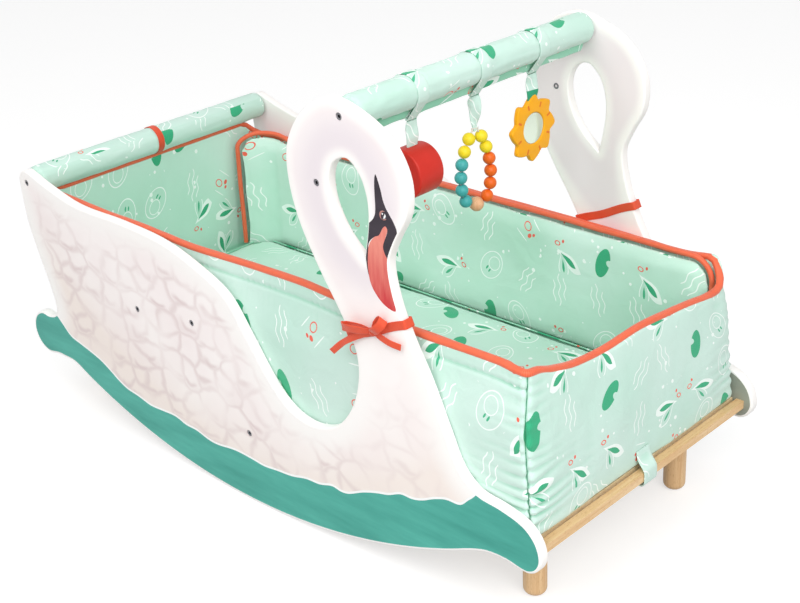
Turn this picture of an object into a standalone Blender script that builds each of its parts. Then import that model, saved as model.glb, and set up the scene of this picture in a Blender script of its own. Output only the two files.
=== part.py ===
# A rocking baby cradle: two swan-shaped plywood rockers joined by rails and two padded bars, a soft tub
# with bumpers and a mattress, and three toys that hang from the upper bar.
# Metres, +Z up. +X runs from the tail to the breast, and the two sides are mirrored about the XZ plane.

import math

import bmesh
import bpy
from mathutils import Matrix, Vector

for leftover in list(bpy.data.objects):
    bpy.data.objects.remove(leftover, do_unlink=True)

# Gaps
CLEARANCE = 0.0003

# Side panels
OVERALL_WIDTH = 0.500
PANEL_THICKNESS = 0.015
PANEL_EDGE = 0.0015
ROCKER_RADIUS = 0.973
ROCKER_LIFT = 0.0015
ROCKER_LOW_X = -0.006
ROCKER_END_INSET = 0.084
TOE_REACH = 0.0195
BULB_RADIUS = 0.0365
TAIL_TIP_RADIUS = 0.020
SCOOP_X = 0.136
SCOOP_Z = 0.177

# Base
BASE_TOP_Z = 0.132
BOARD_THICKNESS = 0.008
RAIL_SIZE = 0.012
RAIL_GAP = 0.0015
RAIL_TENON = 0.005
CROSS_RAIL_WIDTH = 0.030
CROSS_RAIL_HEIGHT = 0.016
CROSS_RAIL_INSET = 0.122
BOARD_END_GAP = 0.0045

# Legs
LEG_RADIUS = 0.016
LEG_FLAT_RADIUS = 0.006
LEG_INSET = 0.058
LEG_SIDE_INSET = 0.072
STUD_RADIUS = 0.0037
STUD_LENGTH = 0.007

# Tub
TUB_LENGTH = 0.993
TUB_HEIGHT = 0.224
TUB_WALL = 0.0115
TUB_FLOOR = 0.004
TUB_LEAN = 0.013
TUB_SIDE_GAP = 0.0022
TUB_TAIL_CORNER = 0.026
TUB_BREAST_CORNER = 0.020
TUB_BREAST_DIP = 0.018

# Bumpers and mattress
BUMPER_THICKNESS = 0.020
BUMPER_EDGE = 0.006
BUMPER_CORNER = 0.024
BUMPER_END_GAP = 0.010
BUMPER_TOP_DROP = 0.002
MATTRESS_THICKNESS = 0.024
MATTRESS_EDGE = 0.007
MATTRESS_CORNER = 0.030
MATTRESS_SIDE_GAP = 0.0015
MATTRESS_LIFT_GAP = 0.004

# Bars
BAR_RADIUS = 0.0125
BAR_SOCKET_DEPTH = 0.005
COVER_RADIUS = 0.022
COVER_END_GAP = 0.001
FLANGE_LENGTH = 0.011
FLANGE_THICKNESS = 0.0035
TOP_BAR_X = 0.224
TOP_BAR_RISE = 0.274
TAIL_BAR_RISE = 0.032
TAIL_BAR_INSET = 0.002

# Bolts
BOLT_RADIUS = 0.0024
BOLT_HEAD_RADIUS = 0.0045
BOLT_HEAD_HEIGHT = 0.0025
BOLT_GRIP = 0.024
NECK_BOLT_BACK = 0.047
NECK_BOLT_DROP = 0.094
HEX_APOTHEM = 0.0020
HEX_DEPTH = 0.0015

# Ribbons
RIBBON_WIDTH = 0.012
RIBBON_THICKNESS = 0.0010
BOW_RISE = 0.004
BOW_SLANT = 0.45
BOW_LOOP_LONG = 0.046
BOW_LOOP_SHORT = 0.032
BOW_LOOP_LIFT = 0.012
BOW_LOOP_SAG = -0.004
BOW_TAIL_LONG = (-0.068, -0.046)
BOW_TAIL_SHORT = (0.046, -0.008)
KNOT_SIZE = 0.006
KNOT_GAP = 0.0002
BOW_TAIL_SHARE = 0.7
LONG_TAIL_LIFT = 0.0028
SHORT_TAIL_LIFT = 0.0012
TAB_WIDTH = 0.029
TAB_THICKNESS = 0.0015
TAB_HANG = 0.007
TIE_TAIL = 0.012

# Hanging toys
STRAP_WIDTH = 0.019
STRAP_THICKNESS = 0.0014
STRAP_TIP_GAP = 0.0032
TOY_PITCH = 0.1215
TOY_SHIFT = -0.003
DRUM_RADIUS = 0.033
DRUM_LENGTH = 0.045
DRUM_EDGE = 0.003
DRUM_DROP = 0.105
SUN_RADIUS = 0.043
SUN_LOBE = 0.0045
SUN_LOBES = 8
SUN_THICKNESS = 0.0075
SUN_DROP = 0.116
MIRROR_RADIUS = 0.0220
TAB_SEAT_DEPTH = 0.008
EYE_DROP = 0.083
EYE_RADIUS = 0.0024
EYE_WALL = 0.0018
EYE_WIDTH = 0.004
BEAD_RADIUS = 0.00875
WOOD_BEAD_RADIUS = 0.0100
CORD_RADIUS = 0.0013
CORD_LEAD = 0.0015
BEAD_TOP_GAP = 0.0055
BEAD_LOOP_BELLY = 0.0285
BEAD_LOOP_TURN = math.radians(15)

# Places worked out from the sizes above
PANEL_OUTER_Y = OVERALL_WIDTH / 2
PANEL_INNER_Y = PANEL_OUTER_Y - PANEL_THICKNESS
RAIL_X = TUB_LENGTH / 2 + RAIL_GAP + RAIL_SIZE / 2
RAIL_Z = BASE_TOP_Z - RAIL_SIZE / 2
CROSS_RAIL_X = RAIL_X - CROSS_RAIL_INSET
BOARD_BOTTOM_Z = BASE_TOP_Z - BOARD_THICKNESS
CROSS_RAIL_Z = BOARD_BOTTOM_Z - CLEARANCE - CROSS_RAIL_HEIGHT / 2
LEG_X = RAIL_X - LEG_INSET
LEG_Y = PANEL_INNER_Y - LEG_SIDE_INSET
TUB_BOTTOM_Z = BASE_TOP_Z + CLEARANCE
TUB_RIM_Z = TUB_BOTTOM_Z + TUB_HEIGHT
TUB_HALF_WIDTH = PANEL_INNER_Y - TUB_SIDE_GAP
TAIL_BAR_X = -(TUB_LENGTH / 2 - TUB_LEAN - TUB_WALL / 2 + TAIL_BAR_INSET)
TAIL_BAR_Z = TUB_RIM_Z + TAIL_BAR_RISE
TOP_BAR_Z = TUB_RIM_Z + TOP_BAR_RISE
NECK_BOLT = (TOP_BAR_X - NECK_BOLT_BACK, TOP_BAR_Z - NECK_BOLT_DROP)
BOW_Z = TUB_RIM_Z + BOW_RISE
PILOT_RADIUS = BOLT_RADIUS + CLEARANCE
FLANGE_TIP = COVER_RADIUS + FLANGE_LENGTH
STRAP_TIP = FLANGE_TIP + STRAP_TIP_GAP
SWING_DROP = STRAP_TIP + 2 * STRAP_THICKNESS + CLEARANCE
SIDES = {"left": 1, "right": -1}


# Materials

def linear(channel):
    return channel / 12.92 if channel <= 0.04045 else ((channel + 0.055) / 1.055) ** 2.4


def material(name, hex_colour, roughness, metallic=0.0):
    made = bpy.data.materials.new(name)
    made.use_nodes = True
    shader = made.node_tree.nodes["Principled BSDF"]
    channels = [int(hex_colour[i : i + 2], 16) / 255 for i in (0, 2, 4)]
    shader.inputs["Base Color"].default_value = [linear(c) for c in channels] + [1.0]
    shader.inputs["Roughness"].default_value = roughness
    shader.inputs["Metallic"].default_value = metallic
    return made


PAINTED_PLY = material("painted_plywood", "F3F0EE", 0.45)
BEECH = material("oiled_beech", "E2BC8C", 0.5)
PLYWOOD = material("birch_plywood", "E6CFA6", 0.6)
MINT_COTTON = material("mint_cotton", "BEE4D0", 0.85)
CORAL_RIBBON = material("coral_ribbon", "E8623E", 0.6)
BOLT_STEEL = material("bolt_steel", "8C8C8C", 0.35, 1.0)
RED_LACQUER = material("red_lacquer", "D63426", 0.35)
SUN_YELLOW = material("sun_yellow", "FAAC18", 0.45)
MIRROR_FOIL = material("mirror_foil", "E8EAEC", 0.05, 1.0)
CORD = material("white_cord", "F2EFE8", 0.8)
YELLOW_BEAD = material("yellow_bead", "F4DE2C", 0.4)
TEAL_BEAD = material("teal_bead", "4AB2B0", 0.4)
ORANGE_BEAD = material("orange_bead", "F07020", 0.4)
WOOD_BEAD = material("wood_bead", "ECBA8E", 0.5)


# Building blocks

def finish(name, bm, surface):
    bmesh.ops.recalc_face_normals(bm, faces=bm.faces)
    mesh = bpy.data.meshes.new(name)
    bm.to_mesh(mesh)
    bm.free()
    mesh.shade_smooth()
    mesh.set_sharp_from_angle(angle=math.radians(35))
    made = bpy.data.objects.new(name, mesh)
    made.data.materials.append(surface)
    bpy.context.scene.collection.objects.link(made)
    return made


def loft(rings, closed=False):
    """Faces between neighbouring rings of points. Open ends are capped, or the last ring meets the first."""
    bm = bmesh.new()
    loops = [[bm.verts.new(point) for point in ring] for ring in rings]
    pairs = list(zip(loops, loops[1:]))
    if closed:
        pairs.append((loops[-1], loops[0]))
    for low, high in pairs:
        count = max(len(low), len(high))
        for i in range(count):
            j = (i + 1) % count
            corners = [low[i % len(low)], low[j % len(low)], high[j % len(high)], high[i % len(high)]]
            bm.faces.new(list(dict.fromkeys(corners)))
    if not closed:
        for loop in (loops[0], loops[-1]):
            if len(loop) > 2:
                bm.faces.new(loop)
    return bm


def shifted_inward(outline, distance):
    """The outline moved to the left of its own direction, so a clockwise hole grows wider."""
    moved = []
    count = len(outline)
    for i, (u, v) in enumerate(outline):
        before = Vector(outline[i - 1])
        here = Vector((u, v))
        after = Vector(outline[(i + 1) % count])
        first = (here - before).normalized()
        second = (after - here).normalized()
        bisector = Vector((-first.y - second.y, first.x + second.x))
        stretch = bisector.length_squared / 2
        moved.append(here + bisector * (distance / max(stretch, 0.5)))
    return moved


def signed_area(outline):
    return sum(a[0] * b[1] - b[0] * a[1] for a, b in zip(outline, outline[1:] + outline[:1])) / 2


PLANES = {
    "XZ": lambda u, v, d: Vector((u, d, v)),
    "XY": lambda u, v, d: Vector((u, v, d)),
    "YZ": lambda u, v, d: Vector((d, u, v)),
}


def prism(outer, holes, plane, start, end, edge=0.0, steps=1):
    """An outline with holes, extruded from start to end, its rims rounded by edge where that isn't 0."""
    place = PLANES[plane]
    outlines = [outer if signed_area(outer) > 0 else outer[::-1]]
    outlines += [hole if signed_area(hole) < 0 else hole[::-1] for hole in holes]
    quarter = [math.radians(90) * k / steps for k in range(steps + 1)] if edge else [math.radians(90)]
    rounding = [(edge * (1 - math.sin(a)), edge * (1 - math.cos(a))) for a in quarter]
    levels = [(inset, start + depth) for inset, depth in rounding]
    levels += [(inset, end - depth) for inset, depth in reversed(rounding)]
    bm = bmesh.new()
    rims = ([], [])
    for outline in outlines:
        loops = []
        for inset, depth in levels:
            points = shifted_inward(outline, inset)
            loops.append([bm.verts.new(place(u, v, depth)) for u, v in points])
        count = len(outline)
        for low, high in zip(loops, loops[1:]):
            for i in range(count):
                j = (i + 1) % count
                bm.faces.new((low[i], low[j], high[j], high[i]))
        for rim, loop in zip(rims, (loops[0], loops[-1])):
            rim += [bm.edges.get((loop[i], loop[(i + 1) % count])) for i in range(count)]
    for rim in rims:
        bmesh.ops.triangle_fill(bm, use_beauty=True, use_dissolve=False, edges=rim)
    return bm


def turned(profile, origin, axis, segments, hexagon_from=None):
    """A profile of (radius, height) turned about an axis. It closes on the axis or on itself."""
    turn = Vector(axis).to_track_quat("Z", "Y").to_matrix()
    rings = []
    for index, (radius, height) in enumerate(profile):
        if radius == 0:
            rings.append([Vector(origin) + turn @ Vector((0, 0, height))])
            continue
        ring = []
        for k in range(segments):
            angle = 2 * math.pi * k / segments
            reach = radius
            if hexagon_from is not None and index >= hexagon_from:
                reach = radius / math.cos((angle + math.pi / 6) % (math.pi / 3) - math.pi / 6)
            spot = Vector((reach * math.cos(angle), reach * math.sin(angle), height))
            ring.append(Vector(origin) + turn @ spot)
        rings.append(ring)
    return loft(rings, closed=profile[0][0] > 0)


def arc(centre, radius, start, end, steps):
    """Points on a circle between two angles in degrees."""
    angles = [math.radians(start + (end - start) * k / steps) for k in range(steps + 1)]
    return [(centre[0] + radius * math.cos(a), centre[1] + radius * math.sin(a)) for a in angles]


def smooth_through(points, closed=True, turn_step=math.radians(13)):
    """A Catmull-Rom curve through the points, with more steps where it bends more."""
    points = [Vector(point) for point in points]
    count = len(points)
    curve = []
    for i in range(count if closed else count - 1):
        if closed:
            p0, p1, p2, p3 = (points[(i + k) % count] for k in (-1, 0, 1, 2))
        else:
            p1, p2 = points[i], points[i + 1]
            p0 = points[i - 1] if i else p1 - (p2 - p1)
            p3 = points[i + 2] if i + 2 < count else p2 + (p2 - p1)
        span = (p2 - p1).length
        out = (p2 - p0) * span / max((p1 - p0).length + span, 1e-9)
        into = (p3 - p1) * span / max((p3 - p2).length + span, 1e-9)
        bend = out.angle(p2 - p1, 0) + into.angle(p2 - p1, 0)
        steps = max(1, round(bend / turn_step))
        for k in range(steps):
            t = k / steps
            t2, t3 = t * t, t * t * t
            spot = p1 * (2 * t3 - 3 * t2 + 1) + out * (t3 - 2 * t2 + t)
            spot = spot + p2 * (3 * t2 - 2 * t3) + into * (t3 - t2)
            curve.append((spot.x, spot.y))
    if not closed:
        curve.append(tuple(points[-1]))
    return curve


def strip_outline(path, thickness):
    """The outline of a strip of even thickness that follows an open path."""
    path = [Vector(point) for point in path]
    sides = ([], [])
    for i, here in enumerate(path):
        first = (here - path[i - 1]).normalized() if i else (path[1] - here).normalized()
        second = (path[i + 1] - here).normalized() if i + 1 < len(path) else first
        bisector = Vector((-first.y - second.y, first.x + second.x))
        offset = bisector * (thickness / 2 / max(bisector.length_squared / 2, 0.5))
        sides[0].append(tuple(here + offset))
        sides[1].append(tuple(here - offset))
    return sides[0] + sides[1][::-1]


def rotated(outline, angle, centre=(0, 0)):
    turn = Matrix.Rotation(angle, 2)
    return [tuple(turn @ Vector(point) + Vector(centre)) for point in outline]


def helper(name, bm):
    """A cutter or an added body for a Boolean, kept out of the model itself."""
    made = finish(name, bm, PLYWOOD)
    made.hide_render = True
    made.display_type = "WIRE"
    return made


def boolean(target, other, operation):
    step = target.modifiers.new(operation.lower(), "BOOLEAN")
    step.operation = operation
    step.object = other


def join(parts):
    """One bmesh from several that don't touch."""
    whole = bmesh.new()
    for part in parts:
        mesh = bpy.data.meshes.new("joined")
        part.to_mesh(mesh)
        part.free()
        whole.from_mesh(mesh)
        bpy.data.meshes.remove(mesh)
    return whole


def box(low, high):
    corners = [(low[0], low[1]), (high[0], low[1]), (high[0], high[1]), (low[0], high[1])]
    rings = [[Vector((x, y, z)) for x, y in corners] for z in (low[2], high[2])]
    return loft(rings)


# Side panels

def panel_outline():
    """The swan: rocker, toe, breast, head, nape, scoop, back and tail, run anticlockwise."""
    toe_x = RAIL_X - 0.007
    toe_z = RAIL_Z + 0.002
    bulb = (-RAIL_X + 0.017, RAIL_Z + 0.002)
    rocker_centre = (ROCKER_LOW_X, ROCKER_RADIUS + ROCKER_LIFT)
    sweep_toe = math.degrees(math.asin((toe_x - ROCKER_END_INSET - ROCKER_LOW_X) / ROCKER_RADIUS))
    sweep_tail = math.degrees(math.asin((ROCKER_LOW_X + RAIL_X - ROCKER_END_INSET) / ROCKER_RADIUS))

    def near(x, z, *offsets):
        return [(x + dx, z + dz) for dx, dz in offsets]

    rocker = arc(rocker_centre, ROCKER_RADIUS, -90 - sweep_tail, -90 + sweep_toe, 24)
    toe = near(
        toe_x, toe_z,
        (-0.058, -0.023), (-0.028, -0.0215), (0.004, -0.026), (TOE_REACH, -0.018),
        (TOE_REACH + 0.007, 0.000), (TOE_REACH, 0.024), (0.000, 0.042), (-0.035, 0.052),
    )
    breast = near(
        SCOOP_X, SCOOP_Z,
        (0.288, 0.009), (0.261, 0.031), (0.240, 0.075), (0.212, 0.137), (0.184, 0.189), (0.165, 0.235),
    )
    head = near(
        TOP_BAR_X, TOP_BAR_Z,
        (0.0695, -0.172), (0.081, -0.142), (0.1025, -0.102), (0.102, -0.058), (0.078, -0.018),
        (0.034, 0.008), (-0.019, 0.0195), (-0.064, -0.004), (-0.094, -0.047), (-0.0995, -0.090),
        (-0.087, -0.147), (-0.056, -0.208),
    )
    nape = near(
        SCOOP_X, SCOOP_Z,
        (0.068, 0.189), (0.091, 0.143), (0.0925, 0.100), (0.076, 0.052), (0.044, 0.015),
        (0.000, 0.000), (-0.044, 0.009), (-0.081, 0.041), (-0.121, 0.095), (-0.160, 0.145),
    )
    back = near(
        TAIL_BAR_X, TAIL_BAR_Z,
        (0.405, -0.041), (0.326, -0.018), (0.230, -0.011), (0.120, -0.010), (0.050, 0.005),
    )
    tip = arc((TAIL_BAR_X, TAIL_BAR_Z), TAIL_TIP_RADIUS, 80, 185, 5)
    tail = near(
        TAIL_BAR_X, TAIL_BAR_Z,
        (-0.018, -0.036), (-0.012, -0.076), (0.006, -0.130), (0.023, -0.176),
    )
    notch = near(*bulb, (0.036, 0.054), (0.030, 0.041))
    end_of_tail = arc(bulb, BULB_RADIUS, 72, 268, 7)
    sweep = near(*bulb, (0.022, -0.0325), (0.042, -0.0325))
    front = rocker + toe + breast + head + nape
    return smooth_through(front + back + tip + tail + notch + end_of_tail + sweep)


def neck_window():
    """The teardrop between the neck and the bent-down head."""
    centre_x = TOP_BAR_X + 0.0075
    centre_z = TOP_BAR_Z - 0.085
    offsets = [
        (0.021, -0.094), (-0.008, -0.068), (-0.0255, -0.041), (-0.033, -0.017), (-0.0325, 0.006),
        (-0.022, 0.025), (0.000, 0.0335), (0.019, 0.019), (0.0285, -0.001), (0.032, -0.023),
        (0.030, -0.050), (0.021, -0.094),
    ]
    window = smooth_through([(centre_x + dx, centre_z + dz) for dx, dz in offsets], closed=False)
    return window[:-1]


def bolt_places():
    """Name, x, z and whether the bolt ends in a rail or a bar inside the panel."""
    return {
        "top_bar": (TOP_BAR_X, TOP_BAR_Z, BOLT_GRIP),
        "tail_bar": (TAIL_BAR_X, TAIL_BAR_Z, BOLT_GRIP),
        "neck": (*NECK_BOLT, 0.0),
        "cross_rail_tail": (-CROSS_RAIL_X, CROSS_RAIL_Z, BOLT_GRIP),
        "cross_rail_middle": (0.0, CROSS_RAIL_Z, BOLT_GRIP),
        "cross_rail_breast": (CROSS_RAIL_X, CROSS_RAIL_Z, BOLT_GRIP),
    }


PANEL_OUTLINE = panel_outline()


def side_panel(name, side):
    faces = sorted((side * PANEL_INNER_Y, side * PANEL_OUTER_Y))
    panel = finish(name, prism(PANEL_OUTLINE, [neck_window()], "XZ", *faces, PANEL_EDGE), PAINTED_PLY)
    cutters = []
    seat = BOLT_HEAD_HEIGHT + CLEARANCE
    for x, z, _ in bolt_places().values():
        profile = [
            (0, -0.001), (BOLT_HEAD_RADIUS + CLEARANCE, -0.001), (BOLT_HEAD_RADIUS + CLEARANCE, seat),
            (PILOT_RADIUS, seat), (PILOT_RADIUS, PANEL_THICKNESS + 0.001), (0, PANEL_THICKNESS + 0.001),
        ]
        cutters.append(turned(profile, (x, side * PANEL_OUTER_Y, z), (0, -side, 0), 12))
    boolean(panel, helper(name + "_bolt_holes", join(cutters)), "DIFFERENCE")
    sockets = []
    for x, z in ((TOP_BAR_X, TOP_BAR_Z), (TAIL_BAR_X, TAIL_BAR_Z)):
        reach = BAR_RADIUS + CLEARANCE
        profile = [(0, -0.001), (reach, -0.001), (reach, BAR_SOCKET_DEPTH), (0, BAR_SOCKET_DEPTH)]
        sockets.append(turned(profile, (x, side * PANEL_INNER_Y, z), (0, side, 0), 18))
    for x in (-RAIL_X, RAIL_X):
        reach = RAIL_SIZE / 2 + CLEARANCE
        low_y, high_y = sorted((side * (PANEL_INNER_Y - 0.001), side * (PANEL_INNER_Y + RAIL_TENON)))
        sockets.append(box((x - reach, low_y, RAIL_Z - reach), (x + reach, high_y, RAIL_Z + reach)))
    boolean(panel, helper(name + "_sockets", join(sockets)), "DIFFERENCE")


for side_name, side in SIDES.items():
    side_panel("side_panel_" + side_name, side)


# Bolts

def bolt(name, x, z, side, grip):
    """A bolt with a hexagon socket, its head flush in the panel."""
    tip = PANEL_THICKNESS + grip - CLEARANCE
    profile = [
        (0, tip), (BOLT_RADIUS, tip), (BOLT_RADIUS, BOLT_HEAD_HEIGHT), (BOLT_HEAD_RADIUS, BOLT_HEAD_HEIGHT),
        (BOLT_HEAD_RADIUS, 0.0), (HEX_APOTHEM, 0.0), (HEX_APOTHEM, HEX_DEPTH), (0, HEX_DEPTH),
    ]
    body = turned(profile, (x, side * PANEL_OUTER_Y, z), (0, -side, 0), 12, hexagon_from=5)
    finish(name, body, BOLT_STEEL)


for side_name, side in SIDES.items():
    for place, (x, z, grip) in bolt_places().items():
        bolt(f"bolt_{place}_{side_name}", x, z, side, grip)


# Rails, cross rails and base board

def rail(name, x):
    reach = PANEL_INNER_Y + RAIL_TENON - CLEARANCE
    half = RAIL_SIZE / 2
    low, high = RAIL_Z - half, RAIL_Z + half
    section = [(x - half, low), (x + half, low), (x + half, high), (x - half, high)]
    finish(name, prism(section, [], "XZ", -reach, reach, 0.0008), BEECH)


def cross_rail(name, x):
    reach = PANEL_INNER_Y - CLEARANCE
    half_width = CROSS_RAIL_WIDTH / 2
    half_height = CROSS_RAIL_HEIGHT / 2
    section = [
        (x - half_width, CROSS_RAIL_Z - half_height), (x + half_width, CROSS_RAIL_Z - half_height),
        (x + half_width, CROSS_RAIL_Z + half_height), (x - half_width, CROSS_RAIL_Z + half_height),
    ]
    made = finish(name, prism(section, [], "XZ", -reach, reach, 0.0008), BEECH)
    pilots = []
    for side in SIDES.values():
        depth = BOLT_GRIP + CLEARANCE
        profile = [(0, -0.001), (PILOT_RADIUS, -0.001), (PILOT_RADIUS, depth), (0, depth)]
        pilots.append(turned(profile, (x, side * reach, CROSS_RAIL_Z), (0, -side, 0), 12))
    boolean(made, helper(name + "_pilots", join(pilots)), "DIFFERENCE")


rail("foot_rail", RAIL_X)
rail("tail_rail", -RAIL_X)
cross_rail("cross_rail_tail", -CROSS_RAIL_X)
cross_rail("cross_rail_middle", 0.0)
cross_rail("cross_rail_breast", CROSS_RAIL_X)

LEG_PLACES = {
    "leg_breast_left": (LEG_X, LEG_Y), "leg_breast_right": (LEG_X, -LEG_Y),
    "leg_tail_left": (-LEG_X, LEG_Y), "leg_tail_right": (-LEG_X, -LEG_Y),
}


def base_board():
    half_x = TUB_LENGTH / 2 - BOARD_END_GAP
    half_y = PANEL_INNER_Y - CLEARANCE
    outline = [(-half_x, -half_y), (half_x, -half_y), (half_x, half_y), (-half_x, half_y)]
    holes = [arc(place, STUD_RADIUS + CLEARANCE, 0, 330, 11) for place in LEG_PLACES.values()]
    finish("base_board", prism(outline, holes, "XY", BOARD_BOTTOM_Z, BASE_TOP_Z, 0.0006), PLYWOOD)


base_board()


def leg(name, place):
    """A beech peg with a domed end, screwed into the board by its stud."""
    top = BOARD_BOTTOM_Z - CLEARANCE
    rise = LEG_RADIUS - LEG_FLAT_RADIUS
    dome = [
        (LEG_FLAT_RADIUS + rise * math.sin(a), rise * (1 - math.cos(a)))
        for a in (math.radians(90) * k / 4 for k in range(5))
    ]
    profile = [(0, 0.0)] + dome
    profile += [(LEG_RADIUS, top), (STUD_RADIUS, top)]
    profile += [(STUD_RADIUS, top + STUD_LENGTH), (0, top + STUD_LENGTH)]
    finish(name, turned(profile, (*place, 0), (0, 0, 1), 18), BEECH)


for leg_name, place in LEG_PLACES.items():
    leg(leg_name, place)


# Bars and their padded covers

def bar(name, x, z):
    reach = PANEL_INNER_Y + BAR_SOCKET_DEPTH - CLEARANCE
    bottom = PANEL_INNER_Y - BOLT_GRIP - CLEARANCE
    profile = [
        (0, -bottom), (PILOT_RADIUS, -bottom), (PILOT_RADIUS, -reach), (BAR_RADIUS, -reach),
        (BAR_RADIUS, reach), (PILOT_RADIUS, reach), (PILOT_RADIUS, bottom), (0, bottom),
    ]
    finish(name, turned(profile, (x, 0, z), (0, 1, 0), 18), BEECH)


def bar_cover(name, x, z, flange_turn):
    """A padded sleeve, with the closing strip standing out along it."""
    reach = PANEL_INNER_Y - COVER_END_GAP
    half = FLANGE_THICKNESS / 2
    opening = math.degrees(math.asin(half / COVER_RADIUS))
    skin = arc((0, 0), COVER_RADIUS, -90 + opening, 270 - opening, 22)
    skin += [(-half, -FLANGE_TIP), (half, -FLANGE_TIP)]
    bore = arc((0, 0), BAR_RADIUS + CLEARANCE, 0, 340, 17)
    outer = rotated(skin, flange_turn, (x, z))
    inner = rotated(bore, 0, (x, z))
    finish(name, prism(outer, [inner], "XZ", -reach, reach, 0.0012), MINT_COTTON)


TAIL_FLANGE_TURN = math.radians(-50)
bar("top_bar", TOP_BAR_X, TOP_BAR_Z)
bar("tail_bar", TAIL_BAR_X, TAIL_BAR_Z)
bar_cover("top_bar_cover", TOP_BAR_X, TOP_BAR_Z, 0.0)
bar_cover("tail_bar_cover", TAIL_BAR_X, TAIL_BAR_Z, TAIL_FLANGE_TURN)


# Soft tub

def tub_ring(inset, z):
    """The tub's plan at one height: corners rounded, ends leaning in, the breast end's rim dipping."""
    rise = (z - TUB_BOTTOM_Z) / TUB_HEIGHT
    half_x = TUB_LENGTH / 2 - TUB_LEAN * rise - inset
    half_y = TUB_HALF_WIDTH - inset
    tail = max(TUB_TAIL_CORNER - inset, 0.004)
    breast = max(TUB_BREAST_CORNER - inset, 0.004)
    plan = arc((half_x - breast, -half_y + breast), breast, -90, 0, 4)
    plan += [(half_x, (half_y - breast) * k / 4) for k in range(-3, 4)]
    plan += arc((half_x - breast, half_y - breast), breast, 0, 90, 4)
    plan += arc((-half_x + tail, half_y - tail), tail, 90, 180, 4)
    plan += arc((-half_x + tail, -half_y + tail), tail, 180, 270, 4)
    ring = []
    for x, y in plan:
        sag = math.cos(math.pi * y / (2 * half_y)) ** 2 if x > 0 else 0
        ring.append(Vector((x, y, z - TUB_BREAST_DIP * rise * sag)))
    return ring


def tub():
    half = TUB_WALL / 2
    floor = TUB_BOTTOM_Z + TUB_FLOOR
    rings = [
        tub_ring(0.010, TUB_BOTTOM_Z),
        tub_ring(0.003, TUB_BOTTOM_Z + 0.003),
        tub_ring(0, TUB_BOTTOM_Z + 0.010),
    ]
    for k in range(5):
        angle = math.pi * k / 4
        rings.append(tub_ring(half * (1 - math.cos(angle)), TUB_RIM_Z - half + half * math.sin(angle)))
    rings.append(tub_ring(TUB_WALL, floor))
    finish("tub", loft(rings), MINT_COTTON)


tub()

BUMPER_OUTER_Y = TUB_HALF_WIDTH - TUB_WALL - CLEARANCE
BUMPER_INNER_Y = BUMPER_OUTER_Y - BUMPER_THICKNESS
BUMPER_HALF_LENGTH = TUB_LENGTH / 2 - TUB_WALL - TUB_LEAN - BUMPER_END_GAP
BUMPER_BOTTOM_Z = TUB_BOTTOM_Z + TUB_FLOOR + CLEARANCE
BUMPER_TOP_Z = TUB_RIM_Z - BUMPER_TOP_DROP


def bumper(name, side):
    """A padded panel that stands along the tub's long wall."""
    corners = [(-BUMPER_HALF_LENGTH, BUMPER_BOTTOM_Z), (BUMPER_HALF_LENGTH, BUMPER_BOTTOM_Z)]
    for hand, start in ((1, 0), (-1, 90)):
        centre = (hand * (BUMPER_HALF_LENGTH - BUMPER_CORNER), BUMPER_TOP_Z - BUMPER_CORNER)
        corners += arc(centre, BUMPER_CORNER, start, start + 90, 5)
    faces = sorted((side * BUMPER_INNER_Y, side * BUMPER_OUTER_Y))
    finish(name, prism(corners, [], "XZ", *faces, BUMPER_EDGE, steps=2), MINT_COTTON)


for side_name, side in SIDES.items():
    bumper("bumper_" + side_name, side)


def mattress():
    half_x = -TAIL_BAR_X - COVER_RADIUS - MATTRESS_LIFT_GAP
    half_y = BUMPER_INNER_Y - MATTRESS_SIDE_GAP
    low = BUMPER_BOTTOM_Z
    corner = MATTRESS_CORNER
    plan = []
    for sign_x, sign_y, start in ((1, -1, -90), (1, 1, 0), (-1, 1, 90), (-1, -1, 180)):
        centre = (sign_x * (half_x - corner), sign_y * (half_y - corner))
        plan += arc(centre, corner, start, start + 90, 5)
    body = prism(plan, [], "XY", low, low + MATTRESS_THICKNESS, MATTRESS_EDGE, steps=2)
    finish("mattress", body, MINT_COTTON)


mattress()


# Ribbons and tabs

def rail_tab():
    """The fabric tab that holds the tub's end down to the foot rail."""
    half = TAB_THICKNESS / 2
    wall = TUB_LENGTH / 2 + CLEARANCE + half
    front = RAIL_X + RAIL_SIZE / 2 + CLEARANCE + half
    back = RAIL_X - RAIL_SIZE / 2 - CLEARANCE - half
    low = RAIL_Z - RAIL_SIZE / 2 - TAB_HANG
    radius = (front - back) / 2
    path = [(wall, BASE_TOP_Z + 0.022), (wall + 0.004, BASE_TOP_Z + 0.010), (front, BASE_TOP_Z + 0.0005)]
    path += arc((RAIL_X, low + radius), radius, 0, -180, 8)
    path += [(back, BASE_TOP_Z - 0.0005)]
    band = prism(strip_outline(path, TAB_THICKNESS), [], "XZ", -TAB_WIDTH / 2, TAB_WIDTH / 2)
    finish("rail_tab", band, MINT_COTTON)


rail_tab()


def neck_span(low, high, slant=0.0, pivot=0.0):
    """The neck's reach, tail side to breast side, between two heights of a band that climbs forwards."""
    level = [(x, z - slant * (x - pivot)) for x, z in PANEL_OUTLINE]
    found = []
    for (x0, z0), (x1, z1) in zip(level, level[1:] + level[:1]):
        for height in (low, (low + high) / 2, high):
            if x0 > SCOOP_X and (z0 - height) * (z1 - height) <= 0 and z0 != z1:
                found.append(x0 + (x1 - x0) * (height - z0) / (z1 - z0))
    return min(found), max(found)


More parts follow.
